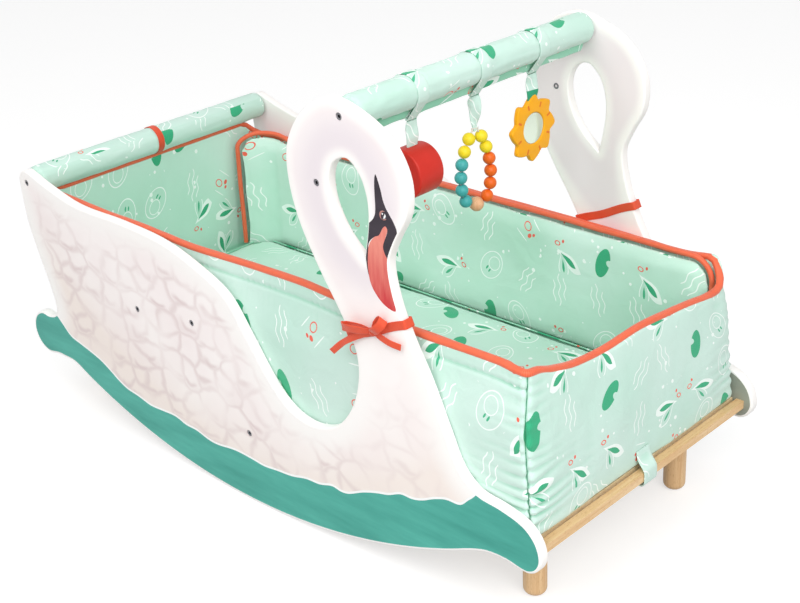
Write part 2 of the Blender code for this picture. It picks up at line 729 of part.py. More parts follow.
def neck_bow(name, side):
    """A ribbon that climbs round the neck, tied in a bow on the outer face."""
    low, high = BOW_Z - RIBBON_WIDTH / 2, BOW_Z + RIBBON_WIDTH / 2
    knot_x = sum(neck_span(low, high)) / 2
    start, end = neck_span(low, high, BOW_SLANT, knot_x)
    gap = CLEARANCE
    thick = RIBBON_THICKNESS
    near_y, far_y = PANEL_INNER_Y - gap, PANEL_OUTER_Y + gap

    def ring(grow):
        corners = [(start - gap - grow, near_y - grow), (end + gap + grow, near_y - grow)]
        corners += [(end + gap + grow, far_y + grow), (start - gap - grow, far_y + grow)]
        return [(x, side * y) for x, y in corners]

    band = finish(name, prism(ring(thick), [ring(0)], "XY", low, high), CORAL_RIBBON)
    for vertex in band.data.vertices:
        vertex.co.z += BOW_SLANT * (vertex.co.x - knot_x)
    face = far_y + KNOT_GAP
    fat = KNOT_SIZE * 0.8
    knot_profile = [(0, -KNOT_SIZE), (fat, -KNOT_SIZE * 0.6), (fat, KNOT_SIZE * 0.6), (0, KNOT_SIZE)]
    knot = turned(knot_profile, (knot_x, side * (face + fat), BOW_Z), (0, 0, 1), 10)
    boolean(band, helper(name + "_knot", knot), "UNION")
    for hand, reach, rise in ((-1, BOW_LOOP_LONG, BOW_LOOP_SAG), (1, BOW_LOOP_SHORT, BOW_LOOP_LIFT)):
        tip = hand * reach
        rim = [(0, 0.003), (tip * 0.5, 0.001), (tip, 0.006), (tip * 0.5, 0.011), (0, 0.005)]
        path = [(knot_x + dx, side * (face + dy)) for dx, dy in smooth_through(rim, closed=False)]
        loop = prism(strip_outline(path, thick), [], "XY", low + rise, high + rise)
        boolean(band, helper(f"{name}_loop{hand}", loop), "UNION")
    for hand, end_x, end_z in ((-1, *BOW_TAIL_LONG), (1, *BOW_TAIL_SHORT)):
        middle = (knot_x + end_x * 0.5, BOW_Z + end_z * 0.3)
        tail = [(knot_x, BOW_Z), middle, (knot_x + end_x, BOW_Z + end_z)]
        lift = face + (LONG_TAIL_LIFT if hand < 0 else SHORT_TAIL_LIFT)
        sheet = sorted((side * lift, side * (lift + thick)))
        strip = prism(strip_outline(tail, RIBBON_WIDTH * BOW_TAIL_SHARE), [], "XZ", *sheet)
        boolean(band, helper(f"{name}_tail{hand}", strip), "UNION")


for side_name, side in SIDES.items():
    neck_bow("neck_bow_" + side_name, side)


# Straps round the bars

def strap_loop(name, x, z, turn, y, width, thickness, surface, tail=0.0):
    """A band folded round a padded bar and its closing strip, with or without a tail below the fold."""
    inner = COVER_RADIUS + CLEARANCE
    outer = inner + thickness
    lean = math.acos(inner / STRAP_TIP)
    lean_degrees = math.degrees(lean)
    space = arc((0, 0), inner, -90 + lean_degrees, 270 - lean_degrees, 16) + [(0, -STRAP_TIP)]
    run = (outer * math.sin(lean) - thickness) / math.cos(lean)
    shoulder = -outer * math.cos(lean) - run * math.sin(lean)
    outline = arc((0, 0), outer, -90 + lean_degrees, 270 - lean_degrees, 16)
    low = min(shoulder, -STRAP_TIP - thickness) - tail
    outline += [(-thickness, shoulder), (-thickness, low), (thickness, low), (thickness, shoulder)]
    outer_shape = rotated(outline, turn, (x, z))
    inner_shape = rotated(space, turn, (x, z))
    return finish(name, prism(outer_shape, [inner_shape], "XZ", y - width / 2, y + width / 2), surface)


def strap_tail(name, y, end_depth, eye_depth=None):
    """The hanging end of a toy's strap, round-topped at the fold where it swings."""
    bend = (TOP_BAR_X, TOP_BAR_Z - SWING_DROP)
    outline = arc(bend, STRAP_THICKNESS, 0, 180, 6)
    holes = []
    if eye_depth is None:
        low = TOP_BAR_Z - end_depth
        outline += [(TOP_BAR_X - STRAP_THICKNESS, low), (TOP_BAR_X + STRAP_THICKNESS, low)]
    else:
        eye = (TOP_BAR_X, TOP_BAR_Z - eye_depth)
        wall = EYE_RADIUS + EYE_WALL
        neck = math.degrees(math.asin(STRAP_THICKNESS / wall))
        outline += arc(eye, wall, 90 + neck, 450 - neck, 12)
        holes = [arc(eye, EYE_RADIUS, 0, 330, 11)]
    return finish(name, prism(outline, holes, "XZ", y - STRAP_WIDTH / 2, y + STRAP_WIDTH / 2), MINT_COTTON)


def taper(made, y, start_z, end_z, end_width):
    """Narrows a strap in Y from start_z down to end_z."""
    for vertex in made.data.vertices:
        share = min(max((start_z - vertex.co.z) / (start_z - end_z), 0), 1)
        vertex.co.y = y + (vertex.co.y - y) * (1 + (end_width / STRAP_WIDTH - 1) * share)


strap_loop(
    "tail_bar_tie", TAIL_BAR_X, TAIL_BAR_Z, TAIL_FLANGE_TURN, 0.0, RIBBON_WIDTH, RIBBON_THICKNESS,
    CORAL_RIBBON, TIE_TAIL,
)


# Hanging toys

def toy_strap(toy, y, end_depth, eye_depth=None):
    """The loop that stays on the bar, and the end that swings with the toy."""
    strap_loop(
        "strap_loop_" + toy, TOP_BAR_X, TOP_BAR_Z, 0.0, y, STRAP_WIDTH, STRAP_THICKNESS, MINT_COTTON,
    )
    return strap_tail("strap_" + toy, y, end_depth, eye_depth)


def slot_cutter(y, top_z, width):
    half = STRAP_THICKNESS + CLEARANCE
    low = (TOP_BAR_X - half, y - width / 2 - CLEARANCE, top_z - TAB_SEAT_DEPTH - CLEARANCE)
    return box(low, (TOP_BAR_X + half, y + width / 2 + CLEARANCE, top_z + 0.010))


def drum_toy(y):
    """A red turned drum rattle, its axis level, hung by a strap let into its rim."""
    centre_z = TOP_BAR_Z - DRUM_DROP
    top = centre_z + DRUM_RADIUS
    half = DRUM_LENGTH / 2
    rim = [(DRUM_RADIUS - DRUM_EDGE * (1 - math.sin(a)), half - DRUM_EDGE * (1 - math.cos(a)))
           for a in (math.radians(90) * k / 2 for k in range(3))]
    profile = [(0, half)] + rim + [(radius, -height) for radius, height in reversed(rim)] + [(0, -half)]
    made = finish("drum_rattle", turned(profile, (TOP_BAR_X, y, centre_z), (0, 1, 0), 32), RED_LACQUER)
    boolean(made, helper("drum_slot", slot_cutter(y, top, STRAP_WIDTH)), "DIFFERENCE")
    toy_strap("drum", y, DRUM_DROP - DRUM_RADIUS + TAB_SEAT_DEPTH - CLEARANCE)


def sun_toy(y):
    """A wavy sun ring with a round mirror in its middle."""
    centre = (y, TOP_BAR_Z - SUN_DROP)
    rim = []
    for k in range(56):
        angle = 2 * math.pi * k / 56
        wave = math.cos(SUN_LOBES * angle + 0.5 * math.cos(SUN_LOBES * angle))
        reach = SUN_RADIUS + SUN_LOBE * wave
        rim.append((centre[0] + reach * math.cos(angle), centre[1] + reach * math.sin(angle)))
    opening = arc(centre, MIRROR_RADIUS + CLEARANCE, 0, 345, 23)
    faces = (TOP_BAR_X - SUN_THICKNESS / 2, TOP_BAR_X + SUN_THICKNESS / 2)
    ring = finish("sun_ring", prism(rim, [opening], "YZ", *faces, 0.0015), SUN_YELLOW)
    top = centre[1] + SUN_RADIUS
    boolean(ring, helper("sun_slot", slot_cutter(y, top, STRAP_WIDTH)), "DIFFERENCE")
    half = SUN_THICKNESS / 2 - 0.0012
    disc = [(0, half), (MIRROR_RADIUS, half), (MIRROR_RADIUS, -half), (0, -half)]
    finish("mirror", turned(disc, (TOP_BAR_X, y, centre[1]), (1, 0, 0), 24), MIRROR_FOIL)
    toy_strap("sun", y, SUN_DROP - SUN_RADIUS + TAB_SEAT_DEPTH - CLEARANCE)


def drop_point(angle, height):
    """The loop that the beads hang in: narrow at the top and round below."""
    across = BEAD_LOOP_BELLY * math.sin(angle) * abs(math.sin(angle / 2)) ** 0.5
    return Vector((across, -height * (1 - math.cos(angle)) / 2))


def bead_joints(radii, height):
    """Where the beads meet along the loop, each bead just clear of the one before, and the angle reached."""
    angle = 0.0
    while drop_point(angle, height).x < BEAD_TOP_GAP:
        angle += 0.001
    joints = [drop_point(angle, height)]
    last_centre, last_radius = None, 0.0
    for radius in radii:
        clear = False
        while not clear and angle < 7:
            angle += 0.001
            here = drop_point(angle, height)
            centre = (here + joints[-1]) / 2
            clear = (here - joints[-1]).length >= 2 * radius + CLEARANCE
            if last_centre is not None:
                clear = clear and (centre - last_centre).length >= radius + last_radius + CLEARANCE
        joints.append(here)
        last_centre, last_radius = centre, radius
    return joints, angle


def bead_layout(radii):
    """The joints of the beads at the height of loop at which their string just closes."""
    low, high = 0.05, 0.20
    for _ in range(20):
        middle = (low + high) / 2
        joints, angle = bead_joints(radii, middle)
        if angle > 2 * math.pi or drop_point(angle, middle).x > -BEAD_TOP_GAP:
            low = middle
        else:
            high = middle
    return bead_joints(radii, high)[0]


def bead_toy(y):
    colours = [YELLOW_BEAD] * 2 + [ORANGE_BEAD] * 4 + [WOOD_BEAD] + [TEAL_BEAD] * 4 + [YELLOW_BEAD] * 2
    radii = [WOOD_BEAD_RADIUS if colour is WOOD_BEAD else BEAD_RADIUS for colour in colours]
    joints = bead_layout(radii)
    across = Vector((math.sin(BEAD_LOOP_TURN), math.cos(BEAD_LOOP_TURN), 0))
    hook = Vector((TOP_BAR_X, y, TOP_BAR_Z - EYE_DROP))

    def place(point):
        return hook + across * point.x + Vector((0, 0, point.y))

    bore = CORD_RADIUS + CLEARANCE
    for index, (start, end, radius, colour) in enumerate(zip(joints, joints[1:], radii, colours), 1):
        first, last = place(start), place(end)
        limit = math.asin(bore / radius)
        angles = [limit + (math.pi - 2 * limit) * k / 6 for k in range(7)]
        profile = [(radius * math.sin(a), -radius * math.cos(a)) for a in angles]
        centre = (first + last) / 2
        finish(f"bead_{index:02d}", turned(profile, centre, last - first, 12), colour)

    reach = EYE_WIDTH / 2 + 2 * CORD_RADIUS
    lead_in = joints[0] + (joints[0] - joints[1]).normalized() * CORD_LEAD
    lead_out = joints[-1] + (joints[-1] - joints[-2]).normalized() * CORD_LEAD
    path = [Vector((-reach, 0)), Vector((reach, 0)), lead_in] + joints + [lead_out]
    rings = []
    normal = across.cross(Vector((0, 0, 1)))
    for i, here in enumerate(path):
        first = (here - path[i - 1]).normalized()
        second = (path[(i + 1) % len(path)] - here).normalized()
        bisector = Vector((-first.y - second.y, first.x + second.x))
        mitre = bisector / (bisector.length_squared / 2)
        ring = []
        for k in range(6):
            angle = 2 * math.pi * k / 6
            side = mitre * math.cos(angle)
            ring.append(place(here + side * CORD_RADIUS) + normal * (CORD_RADIUS * math.sin(angle)))
        rings.append(ring)
    finish("bead_cord", loft(rings, closed=True), CORD)
    made = toy_strap("beads", y, EYE_DROP, EYE_DROP)
    taper(made, y, TOP_BAR_Z - SWING_DROP, TOP_BAR_Z - EYE_DROP + EYE_RADIUS, EYE_WIDTH)


drum_toy(TOY_SHIFT - TOY_PITCH)
bead_toy(TOY_SHIFT)
sun_toy(TOY_SHIFT + TOY_PITCH)
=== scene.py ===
import math

import bmesh
import bpy
from mathutils import Matrix, Vector, noise


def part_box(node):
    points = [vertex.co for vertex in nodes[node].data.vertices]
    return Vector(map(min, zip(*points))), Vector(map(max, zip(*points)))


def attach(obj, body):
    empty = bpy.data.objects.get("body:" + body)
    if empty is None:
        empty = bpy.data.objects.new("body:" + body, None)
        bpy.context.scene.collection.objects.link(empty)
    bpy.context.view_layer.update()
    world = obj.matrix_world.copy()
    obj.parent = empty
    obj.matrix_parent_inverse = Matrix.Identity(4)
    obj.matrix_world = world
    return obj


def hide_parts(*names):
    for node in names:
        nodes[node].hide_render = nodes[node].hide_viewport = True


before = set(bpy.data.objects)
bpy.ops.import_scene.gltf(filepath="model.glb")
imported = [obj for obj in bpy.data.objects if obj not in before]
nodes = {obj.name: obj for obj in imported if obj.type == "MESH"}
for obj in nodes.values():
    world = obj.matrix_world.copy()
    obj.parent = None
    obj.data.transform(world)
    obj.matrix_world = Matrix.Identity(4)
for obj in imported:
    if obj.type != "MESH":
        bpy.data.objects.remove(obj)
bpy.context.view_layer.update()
print("frame loaded:", len(nodes), "nodes")


def boxCorners(node):
    return [Vector(corner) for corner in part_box(node)]


def nodeMiddle(node):
    low, high = boxCorners(node)
    return (low + high) / 2


def linearColour(hexCode):
    channels = [int(hexCode[i : i + 2], 16) / 255 for i in (0, 2, 4)]
    return [c / 12.92 if c <= 0.04045 else ((c + 0.055) / 1.055) ** 2.4 for c in channels] + [1.0]


def addNode(tree, kind, inputs=(), **settings):
    made = tree.nodes.new("ShaderNode" + kind)
    for setting, value in settings.items():
        setattr(made, setting, value)
    for socket, value in inputs.items() if isinstance(inputs, dict) else enumerate(inputs):
        if isinstance(value, bpy.types.Node):
            value = next(output for output in value.outputs if output.enabled)
        if isinstance(value, bpy.types.NodeSocket):
            tree.links.new(value, made.inputs[socket])
        elif value is not None:
            made.inputs[socket].default_value = value
    return made


def newMaterial(name, roughness, metallic=0.0, **sockets):
    made = bpy.data.materials.new(name)
    made.use_nodes = True
    shader = made.node_tree.nodes["Principled BSDF"]
    shader.inputs["Roughness"].default_value = roughness
    shader.inputs["Metallic"].default_value = metallic
    for socket, value in sockets.items():
        shader.inputs[socket.replace("_", " ")].default_value = value
    return made, made.node_tree


def plug(made, **sources):
    # joins nodes to the sockets of the material's own shader
    tree = made.node_tree
    for socket, source in sources.items():
        tree.links.new(source.outputs[0], tree.nodes["Principled BSDF"].inputs[socket.replace("_", " ")])
    return made


def useMaterial(piece, *materials):
    piece.data.materials.clear()
    for material in materials:
        piece.data.materials.append(material)


def selectOnly(piece):
    bpy.ops.object.select_all(action="DESELECT")
    piece.select_set(True)
    bpy.context.view_layer.objects.active = piece


def addMesh(operator, **settings):
    bpy.ops.object.select_all(action="DESELECT")
    operator(**settings)
    return bpy.context.active_object


def declare(piece, body, replaced=None):
    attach(piece, body)
    if replaced:
        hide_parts(replaced)


def settle(piece, name, angle=40):
    # applies modifiers and place, and shades smooth up to the angle
    selectOnly(piece)
    for modifier in list(piece.modifiers):
        bpy.ops.object.modifier_apply(modifier=modifier.name)
    bpy.ops.object.transform_apply(location=True, rotation=True, scale=True)
    bpy.ops.object.shade_smooth_by_angle(angle=math.radians(angle))
    piece.name = name
    return piece


def addBevel(piece, width, segments=3, angle=35):
    modifier = piece.modifiers.new("bevel", "BEVEL")
    modifier.width = width
    modifier.segments = segments
    modifier.limit_method = "ANGLE"
    modifier.angle_limit = math.radians(angle)


def cut(piece, cutter, operation="DIFFERENCE"):
    modifier = piece.modifiers.new("cut", "BOOLEAN")
    modifier.operation = operation
    modifier.object = cutter
    selectOnly(piece)
    bpy.ops.object.modifier_apply(modifier=modifier.name)
    bpy.data.objects.remove(cutter, do_unlink=True)


def joinPieces(pieces):
    selectOnly(pieces[0])
    for piece in pieces[1:]:
        piece.select_set(True)
    bpy.ops.object.join()
    return bpy.context.view_layer.objects.active


def smoothPath(points, steps=8, closed=False):
    # a Catmull-Rom curve through the given points
    points = [Vector(point) for point in points]
    count = len(points)
    path = []
    for i in range(count if closed else count - 1):
        p1, p2 = points[i], points[(i + 1) % count]
        p0 = points[i - 1] if i or closed else p1 * 2 - p2
        p3 = points[(i + 2) % count] if i + 2 < count or closed else p2 * 2 - p1
        for k in range(steps):
            t = k / steps
            path.append(0.5 * (p1 * 2 + (p2 - p0) * t + (p0 * 2 - p1 * 5 + p2 * 4 - p3) * t * t
                               + (p1 * 3 - p0 - p2 * 3 + p3) * t ** 3))
    if not closed:
        path.append(points[-1])
    return path


def loftRings(name, rings, uvs, ringClosed=True, pathClosed=False, caps=False):
    # quads between neighbouring rings, with a UV map in metres
    mesh = bmesh.new()
    layer = mesh.loops.layers.uv.new("metres")
    loops = [[mesh.verts.new(point) for point in ring] for ring in rings]
    count = len(rings[0])
    for i in range(len(rings) if pathClosed else len(rings) - 1):
        j = (i + 1) % len(rings)
        for k in range(count if ringClosed else count - 1):
            m = (k + 1) % count
            face = mesh.faces.new((loops[i][k], loops[i][m], loops[j][m], loops[j][k]))
            ends = (uvs[i][k], uvs[i][k + 1], uvs[i + 1][k + 1], uvs[i + 1][k])
            for corner, uv in zip(face.loops, ends):
                corner[layer].uv = uv
    if caps:
        for loop, uv in ((loops[0], uvs[0]), (loops[-1], uvs[-1])):
            face = mesh.faces.new(loop)
            for corner, spot in zip(face.loops, uv):
                corner[layer].uv = spot
    bmesh.ops.recalc_face_normals(mesh, faces=mesh.faces)
    data = bpy.data.meshes.new(name)
    mesh.to_mesh(data)
    mesh.free()
    piece = bpy.data.objects.new(name, data)
    bpy.context.scene.collection.objects.link(piece)
    return piece


def sweep(name, path, section, across, closed=False, widths=None):
    # carries a section along a path; its first coordinate lies along across, its second along the path's normal
    path = [Vector(point) for point in path]
    count = len(path)
    around = [0.0]
    for a, b in zip(section, section[1:] + section[:1]):
        around.append(around[-1] + (Vector(b) - Vector(a)).length)
    rings, uvs, travelled = [], [], 0.0
    for i, here in enumerate(path):
        before = path[i - 1] if i or closed else here * 2 - path[1]
        after = path[(i + 1) % count] if i + 1 < count or closed else here * 2 - path[i - 1]
        tangent = (after - before).normalized()
        side = Vector(across[i] if isinstance(across, list) else across)
        side = (side - tangent * side.dot(tangent)).normalized()
        normal = tangent.cross(side)
        share = widths[i] if widths else 1.0
        rings.append([here + side * (a * share) + normal * b for a, b in section])
        if i:
            travelled += (here - path[i - 1]).length
        uvs.append([(d, travelled) for d in around])
    if closed:
        travelled += (path[0] - path[-1]).length
        uvs.append([(d, travelled) for d in around])
    return loftRings(name, rings, uvs, pathClosed=closed, caps=not closed)


def flatSection(width, thickness, rounding=3):
    # a flat strip's section with half-round edges
    half, edge = width / 2 - thickness / 2, thickness / 2
    right = [(half + edge * math.sin(a), edge * math.cos(a))
             for a in (math.pi * k / rounding for k in range(rounding + 1))]
    across = [(half * (1 - 2 * k / 6), -edge) for k in range(1, 6)]
    left = [(-half - edge * math.sin(a), -edge * math.cos(a))
            for a in (math.pi * k / rounding for k in range(rounding + 1))]
    back = [(-half * (1 - 2 * k / 6), edge) for k in range(1, 6)]
    return right + across + left + back


def roundSection(radius, count=14):
    return [(radius * math.cos(a), radius * math.sin(a)) for a in (2 * math.pi * k / count for k in range(count))]


view = {
    "place": (1.429, -1.414, 1.175), "turn": 43.87, "down": 25.26, "roll": -2.76,
    "lens": 66.52, "sensor": 36.0,
}
turn, down, roll = (math.radians(view[key]) for key in ("turn", "down", "roll"))
forward = Vector((-math.sin(turn) * math.cos(down), math.cos(turn) * math.cos(down), -math.sin(down)))
level = forward.cross(Vector((0, 0, 1))).normalized()
upright = level.cross(forward)
right = level * math.cos(roll) + upright * math.sin(roll)
up = upright * math.cos(roll) - level * math.sin(roll)
camera = bpy.data.objects.new("camera", bpy.data.cameras.new("camera"))
camera.data.lens = view["lens"]
camera.data.sensor_width = view["sensor"]
camera.matrix_world = Matrix((right, up, -forward)).transposed().to_4x4()
camera.location = view["place"]
bpy.context.scene.collection.objects.link(camera)
bpy.context.scene.camera = camera
bpy.context.scene.view_settings.view_transform = "Standard"

studio = {
    "foot": {"place": (2.3, -1.2, 2.0), "size": 2.0, "power": 58},
    "front": {"place": (0.1, -2.3, 2.7), "size": 2.4, "power": 47},
    "top": {"place": (-0.4, 0.3, 3.0), "size": 3.0, "power": 6},
}
for name, lamp in studio.items():
    light = bpy.data.lights.new(name, "AREA")
    light.energy = lamp["power"]
    light.size = lamp["size"]
    holder = bpy.data.objects.new(name, light)
    holder.location = lamp["place"]
    holder.rotation_euler = (Vector((0, 0, 0.3)) - Vector(lamp["place"])).to_track_quat("-Z", "Y").to_euler()
    bpy.context.scene.collection.objects.link(holder)

white = (1.0, 1.0, 1.0, 1.0)


def seenDirectly(tree):
    # 1 for what the camera sees, straight or in a gloss, and 0 for the light that falls on things
    rays = addNode(tree, "LightPath").outputs
    return addNode(tree, "Math", [rays["Is Camera Ray"], rays["Is Glossy Ray"]], operation="MAXIMUM")


world = bpy.data.worlds.new("studio")
bpy.context.scene.world = world
world.use_nodes = True
tree = world.node_tree
tree.nodes.clear()
soft = addNode(tree, "Background", [white, 0.48])
plain = addNode(tree, "Background", [white, 1.0])
mixed = addNode(tree, "MixShader", [seenDirectly(tree), soft, plain])
addNode(tree, "OutputWorld", [mixed])

ground = addMesh(bpy.ops.mesh.primitive_plane_add, size=12, location=(0, 0, -0.0005))
ground.name = "ground"
paper, tree = newMaterial("studioPaper", 0.9, Base_Color=linearColour("BCBCBC"))
strength = addNode(tree, "Math", [seenDirectly(tree), 0.60], operation="MULTIPLY")
glow = addNode(tree, "Emission", [white, strength])
both = addNode(tree, "AddShader", [tree.nodes["Principled BSDF"], glow])
tree.links.new(both.outputs[0], tree.nodes["Material Output"].inputs["Surface"])
useMaterial(ground, paper)
print("camera and light set")


def paintedPly():
    # white water-based paint sprayed on birch ply: satin, pure white at the rims, with soft plumage airbrushed inside
    made, tree = newMaterial("airbrushedPly", 0.42)
    plumage = {"featherSize": 0.045, "lift": 0.010, "wander": 0.018, "rim": "FBF8F5", "inner": "FBF5F3",
               "blush": "F6ECEB", "line": "D8C5C4", "sand": "F1E5DD", "lilac": "E8DFE3"}
    spot = addNode(tree, "TexCoord").outputs["Object"]
    flat = addNode(tree, "Mapping", {"Vector": spot, "Rotation": (math.radians(-90), 0, 0), "Scale": (1.0, 0.0, 1.15)})
    wander = addNode(tree, "TexNoise", {"Vector": flat, "Scale": 17.0, "Detail": 2.0})
    pushed = addNode(tree, "VectorMath", [wander.outputs["Color"], (0.5, 0.5, 0.5)], operation="SUBTRACT")
    pushed = addNode(tree, "VectorMath", {0: pushed, "Scale": plumage["wander"] * 2.4}, operation="SCALE")
    moved = addNode(tree, "VectorMath", [flat, pushed], operation="ADD")
    # each feather is a round puff, airbrushed darker along its underside and paler along its top
    lifted = addNode(tree, "VectorMath", [moved, (0.002, plumage["lift"], 0.0)], operation="ADD")
    cells = {"Scale": 1 / plumage["featherSize"], "Randomness": 0.85}
    feather, above = (addNode(tree, "TexVoronoi", {"Vector": place, "Smoothness": 0.30, **cells}, feature="SMOOTH_F1",
                              voronoi_dimensions="2D").outputs["Distance"] for place in (moved, lifted))
    drop = addNode(tree, "Math", [feather, above], operation="SUBTRACT")
    under = addNode(tree, "MapRange", [drop, 0.0, 0.20, 0.0, 0.75], interpolation_type="SMOOTHSTEP")
    for limits in ((0.22, 0.42, 0.0, 1.0), (0.43, 0.56, 1.0, 0.30)):
        share = addNode(tree, "MapRange", [feather, *limits], interpolation_type="SMOOTHSTEP")
        under = addNode(tree, "Math", [under, share], operation="MULTIPLY")
    between = addNode(tree, "TexVoronoi", {"Vector": moved, **cells}, feature="DISTANCE_TO_EDGE",
                      voronoi_dimensions="2D").outputs["Distance"]
    line = addNode(tree, "MapRange", [between, 0.0, 0.18, 0.56, 0.0], interpolation_type="SMOOTHSTEP")
    drawn = addNode(tree, "Math", [line, under], operation="MAXIMUM")
    fade = addNode(tree, "TexNoise", {"Vector": flat, "Scale": 11.0, "Detail": 1.0})
    fade = addNode(tree, "MapRange", [fade.outputs["Fac"], 0.36, 0.58, 0.15, 1.0])
    rim = addNode(tree, "Attribute", attribute_name="edgeDistance")
    inside = addNode(tree, "MapRange", [rim.outputs["Fac"], 0.006, 0.048, 0.0, 1.0], interpolation_type="SMOOTHSTEP")
    cover = addNode(tree, "Attribute", attribute_name="plumage")
    for share in (fade, inside, cover.outputs["Fac"]):
        drawn = addNode(tree, "Math", [drawn, share], operation="MULTIPLY")
    glow = addNode(tree, "TexNoise", {"Vector": flat, "Scale": 9.0, "Detail": 2.0})
    glow = addNode(tree, "MapRange", [glow.outputs["Fac"], 0.35, 0.65, 0.0, 1.0])
    tint = addNode(tree, "MixRGB", [glow, linearColour(plumage["inner"]), linearColour(plumage["blush"])])
    # lilac: airbrushed round the window on the outer head, and painted shade over the whole inner face
    for attribute, colour in (("headAirbrushAndInnerShade", "lilac"), ("nearWater", "sand")):
        share = addNode(tree, "Attribute", attribute_name=attribute).outputs["Fac"]
        tint = addNode(tree, "MixRGB", [share, tint, linearColour(plumage[colour])])
    paint = addNode(tree, "MixRGB", [inside, linearColour(plumage["rim"]), tint])
    paint = addNode(tree, "MixRGB", [drawn, paint, linearColour(plumage["line"])])
    peel = addNode(tree, "TexNoise", {"Vector": spot, "Scale": 700.0, "Detail": 1.0})
    bump = addNode(tree, "Bump", {"Height": peel.outputs["Fac"], "Strength": 0.12, "Distance": 0.0003})
    return plug(made, Base_Color=paint, Normal=bump)


def brushedPaint(name, dark, light, roughness=0.4):
    # brushed acrylic paint: one colour, streaked a little along the brush
    made, tree = newMaterial(name, roughness, Specular_IOR_Level=0.25)
    spot = addNode(tree, "TexCoord").outputs["Object"]
    streak = addNode(tree, "Mapping", {"Vector": spot, "Rotation": (0, 0.12, 0), "Scale": (6.0, 1.0, 40.0)})
    tone = addNode(tree, "TexNoise", {"Vector": streak, "Scale": 1.0, "Detail": 4.0, "Roughness": 0.6})
    tone = addNode(tree, "MapRange", [tone.outputs["Fac"], 0.30, 0.70, 0.0, 1.0])
    colour = addNode(tree, "MixRGB", [tone, linearColour(dark), linearColour(light)])
    return plug(made, Base_Color=colour)


def beakPaint():
    # the beak shades from a warm coral to a deeper red at its tip
    made, tree = newMaterial("beakPaint", 0.45, Specular_IOR_Level=0.25)
    spot = addNode(tree, "TexCoord").outputs["Object"]
    height = addNode(tree, "SeparateXYZ", [spot]).outputs["Z"]
    share = addNode(tree, "MapRange", [height, 0.400, 0.482, 0.0, 1.0])
    streak = addNode(tree, "Mapping", {"Vector": spot, "Scale": (150.0, 1.0, 22.0)})
    streak = addNode(tree, "TexNoise", {"Vector": streak, "Scale": 1.0, "Detail": 3.0})
    streak = addNode(tree, "MapRange", [streak.outputs["Fac"], 0.35, 0.75, -0.22, 0.22])
    share = addNode(tree, "Math", [share, streak], operation="ADD", use_clamp=True)
    colour = addNode(tree, "MixRGB", [share, linearColour("CC4043"), linearColour("EA9080")])
    return plug(made, Base_Color=colour)


def oiledWood(name, axis, pale, dark, ring=0.004):
    # beech or birch, planed and oiled: fine straight grain and short dark flecks
    made, tree = newMaterial(name, 0.48)
    spot = addNode(tree, "TexCoord").outputs["Object"]
    along = [1 / ring] * 3
    along[axis] = 9.0
    stretched = addNode(tree, "Mapping", {"Vector": spot, "Scale": along})
    grain = addNode(tree, "TexNoise", {"Vector": stretched, "Scale": 1.0, "Detail": 5.0, "Roughness": 0.6,
                                       "Distortion": 0.3})
    grain = addNode(tree, "MapRange", [grain.outputs["Fac"], 0.32, 0.68, 0.0, 1.0])
    flecks = [1100.0] * 3
    flecks[axis] = 160.0
    fleck = addNode(tree, "Mapping", {"Vector": spot, "Scale": flecks})
    fleck = addNode(tree, "TexNoise", {"Vector": fleck, "Scale": 1.0, "Detail": 0.0})
    fleck = addNode(tree, "MapRange", [fleck.outputs["Fac"], 0.64, 0.74, 0.0, 0.45])
    wood = addNode(tree, "MixRGB", [grain, linearColour(pale), linearColour(dark)])
    wood = addNode(tree, "MixRGB", [fleck, wood, linearColour("B98A58")])
    rough = addNode(tree, "MapRange", [grain, 0.0, 1.0, 0.42, 0.56])
    bump = addNode(tree, "Bump", {"Height": grain, "Strength": 0.2, "Distance": 0.0004})
    return plug(made, Base_Color=wood, Roughness=rough, Normal=bump)


def weaveAndBump(tree, cloth, thread, depth, rumple):
    # crossed threads over a soft rumple; real threads lie 0.3 mm apart, drawn wider here so that they show
    warp, weft = (addNode(tree, "TexWave", {"Vector": cloth, "Scale": 0.31 / thread, "Distortion": 0.6},
                          bands_direction=way).outputs["Fac"] for way in "XY")
    threads = addNode(tree, "Math", [warp, weft], operation="MULTIPLY")
    bump = addNode(tree, "Bump", {"Height": threads, "Strength": 0.35, "Distance": depth})
    soft = addNode(tree, "TexNoise", {"Vector": cloth, "Scale": 26.0, "Detail": 3.0, "Distortion": 0.8}).outputs["Fac"]
    return threads, addNode(tree, "Bump", {"Height": soft, "Strength": 0.5, "Distance": rumple, "Normal": bump})


def blot(tree, spot, centre, radii, ring=0.0):
    # 1 inside an ellipse and 0 outside it, or 1 on its rim only
    offset = addNode(tree, "VectorMath", [spot, (*centre, 0)], operation="SUBTRACT")
    scaled = addNode(tree, "VectorMath", [offset, (*radii, 1)], operation="DIVIDE")
    reach = addNode(tree, "VectorMath", [scaled], operation="LENGTH")
    if ring:
        return addNode(tree, "Math", [reach, 1.0, ring], operation="COMPARE")
    return addNode(tree, "Math", [reach, 1.0], operation="LESS_THAN")


def leafShape(tree, x, y, length, width, start=0.0):
    # 1 inside a leaf that points along x, its middle at start
    middle = addNode(tree, "Math", [x, start], operation="SUBTRACT")
    share = addNode(tree, "Math", [middle, length], operation="DIVIDE")
    square = addNode(tree, "Math", [share, share], operation="MULTIPLY")
    rim = addNode(tree, "Math", [square, -width * 1.3, width * 1.3], operation="MULTIPLY_ADD")
    fuller = addNode(tree, "Math", [share, 0.4, 0.6], operation="MULTIPLY_ADD", use_clamp=True)
    rim = addNode(tree, "Math", [rim, fuller], operation="MULTIPLY")
    side = addNode(tree, "Math", [y], operation="ABSOLUTE")
    return addNode(tree, "Math", [side, rim], operation="LESS_THAN")


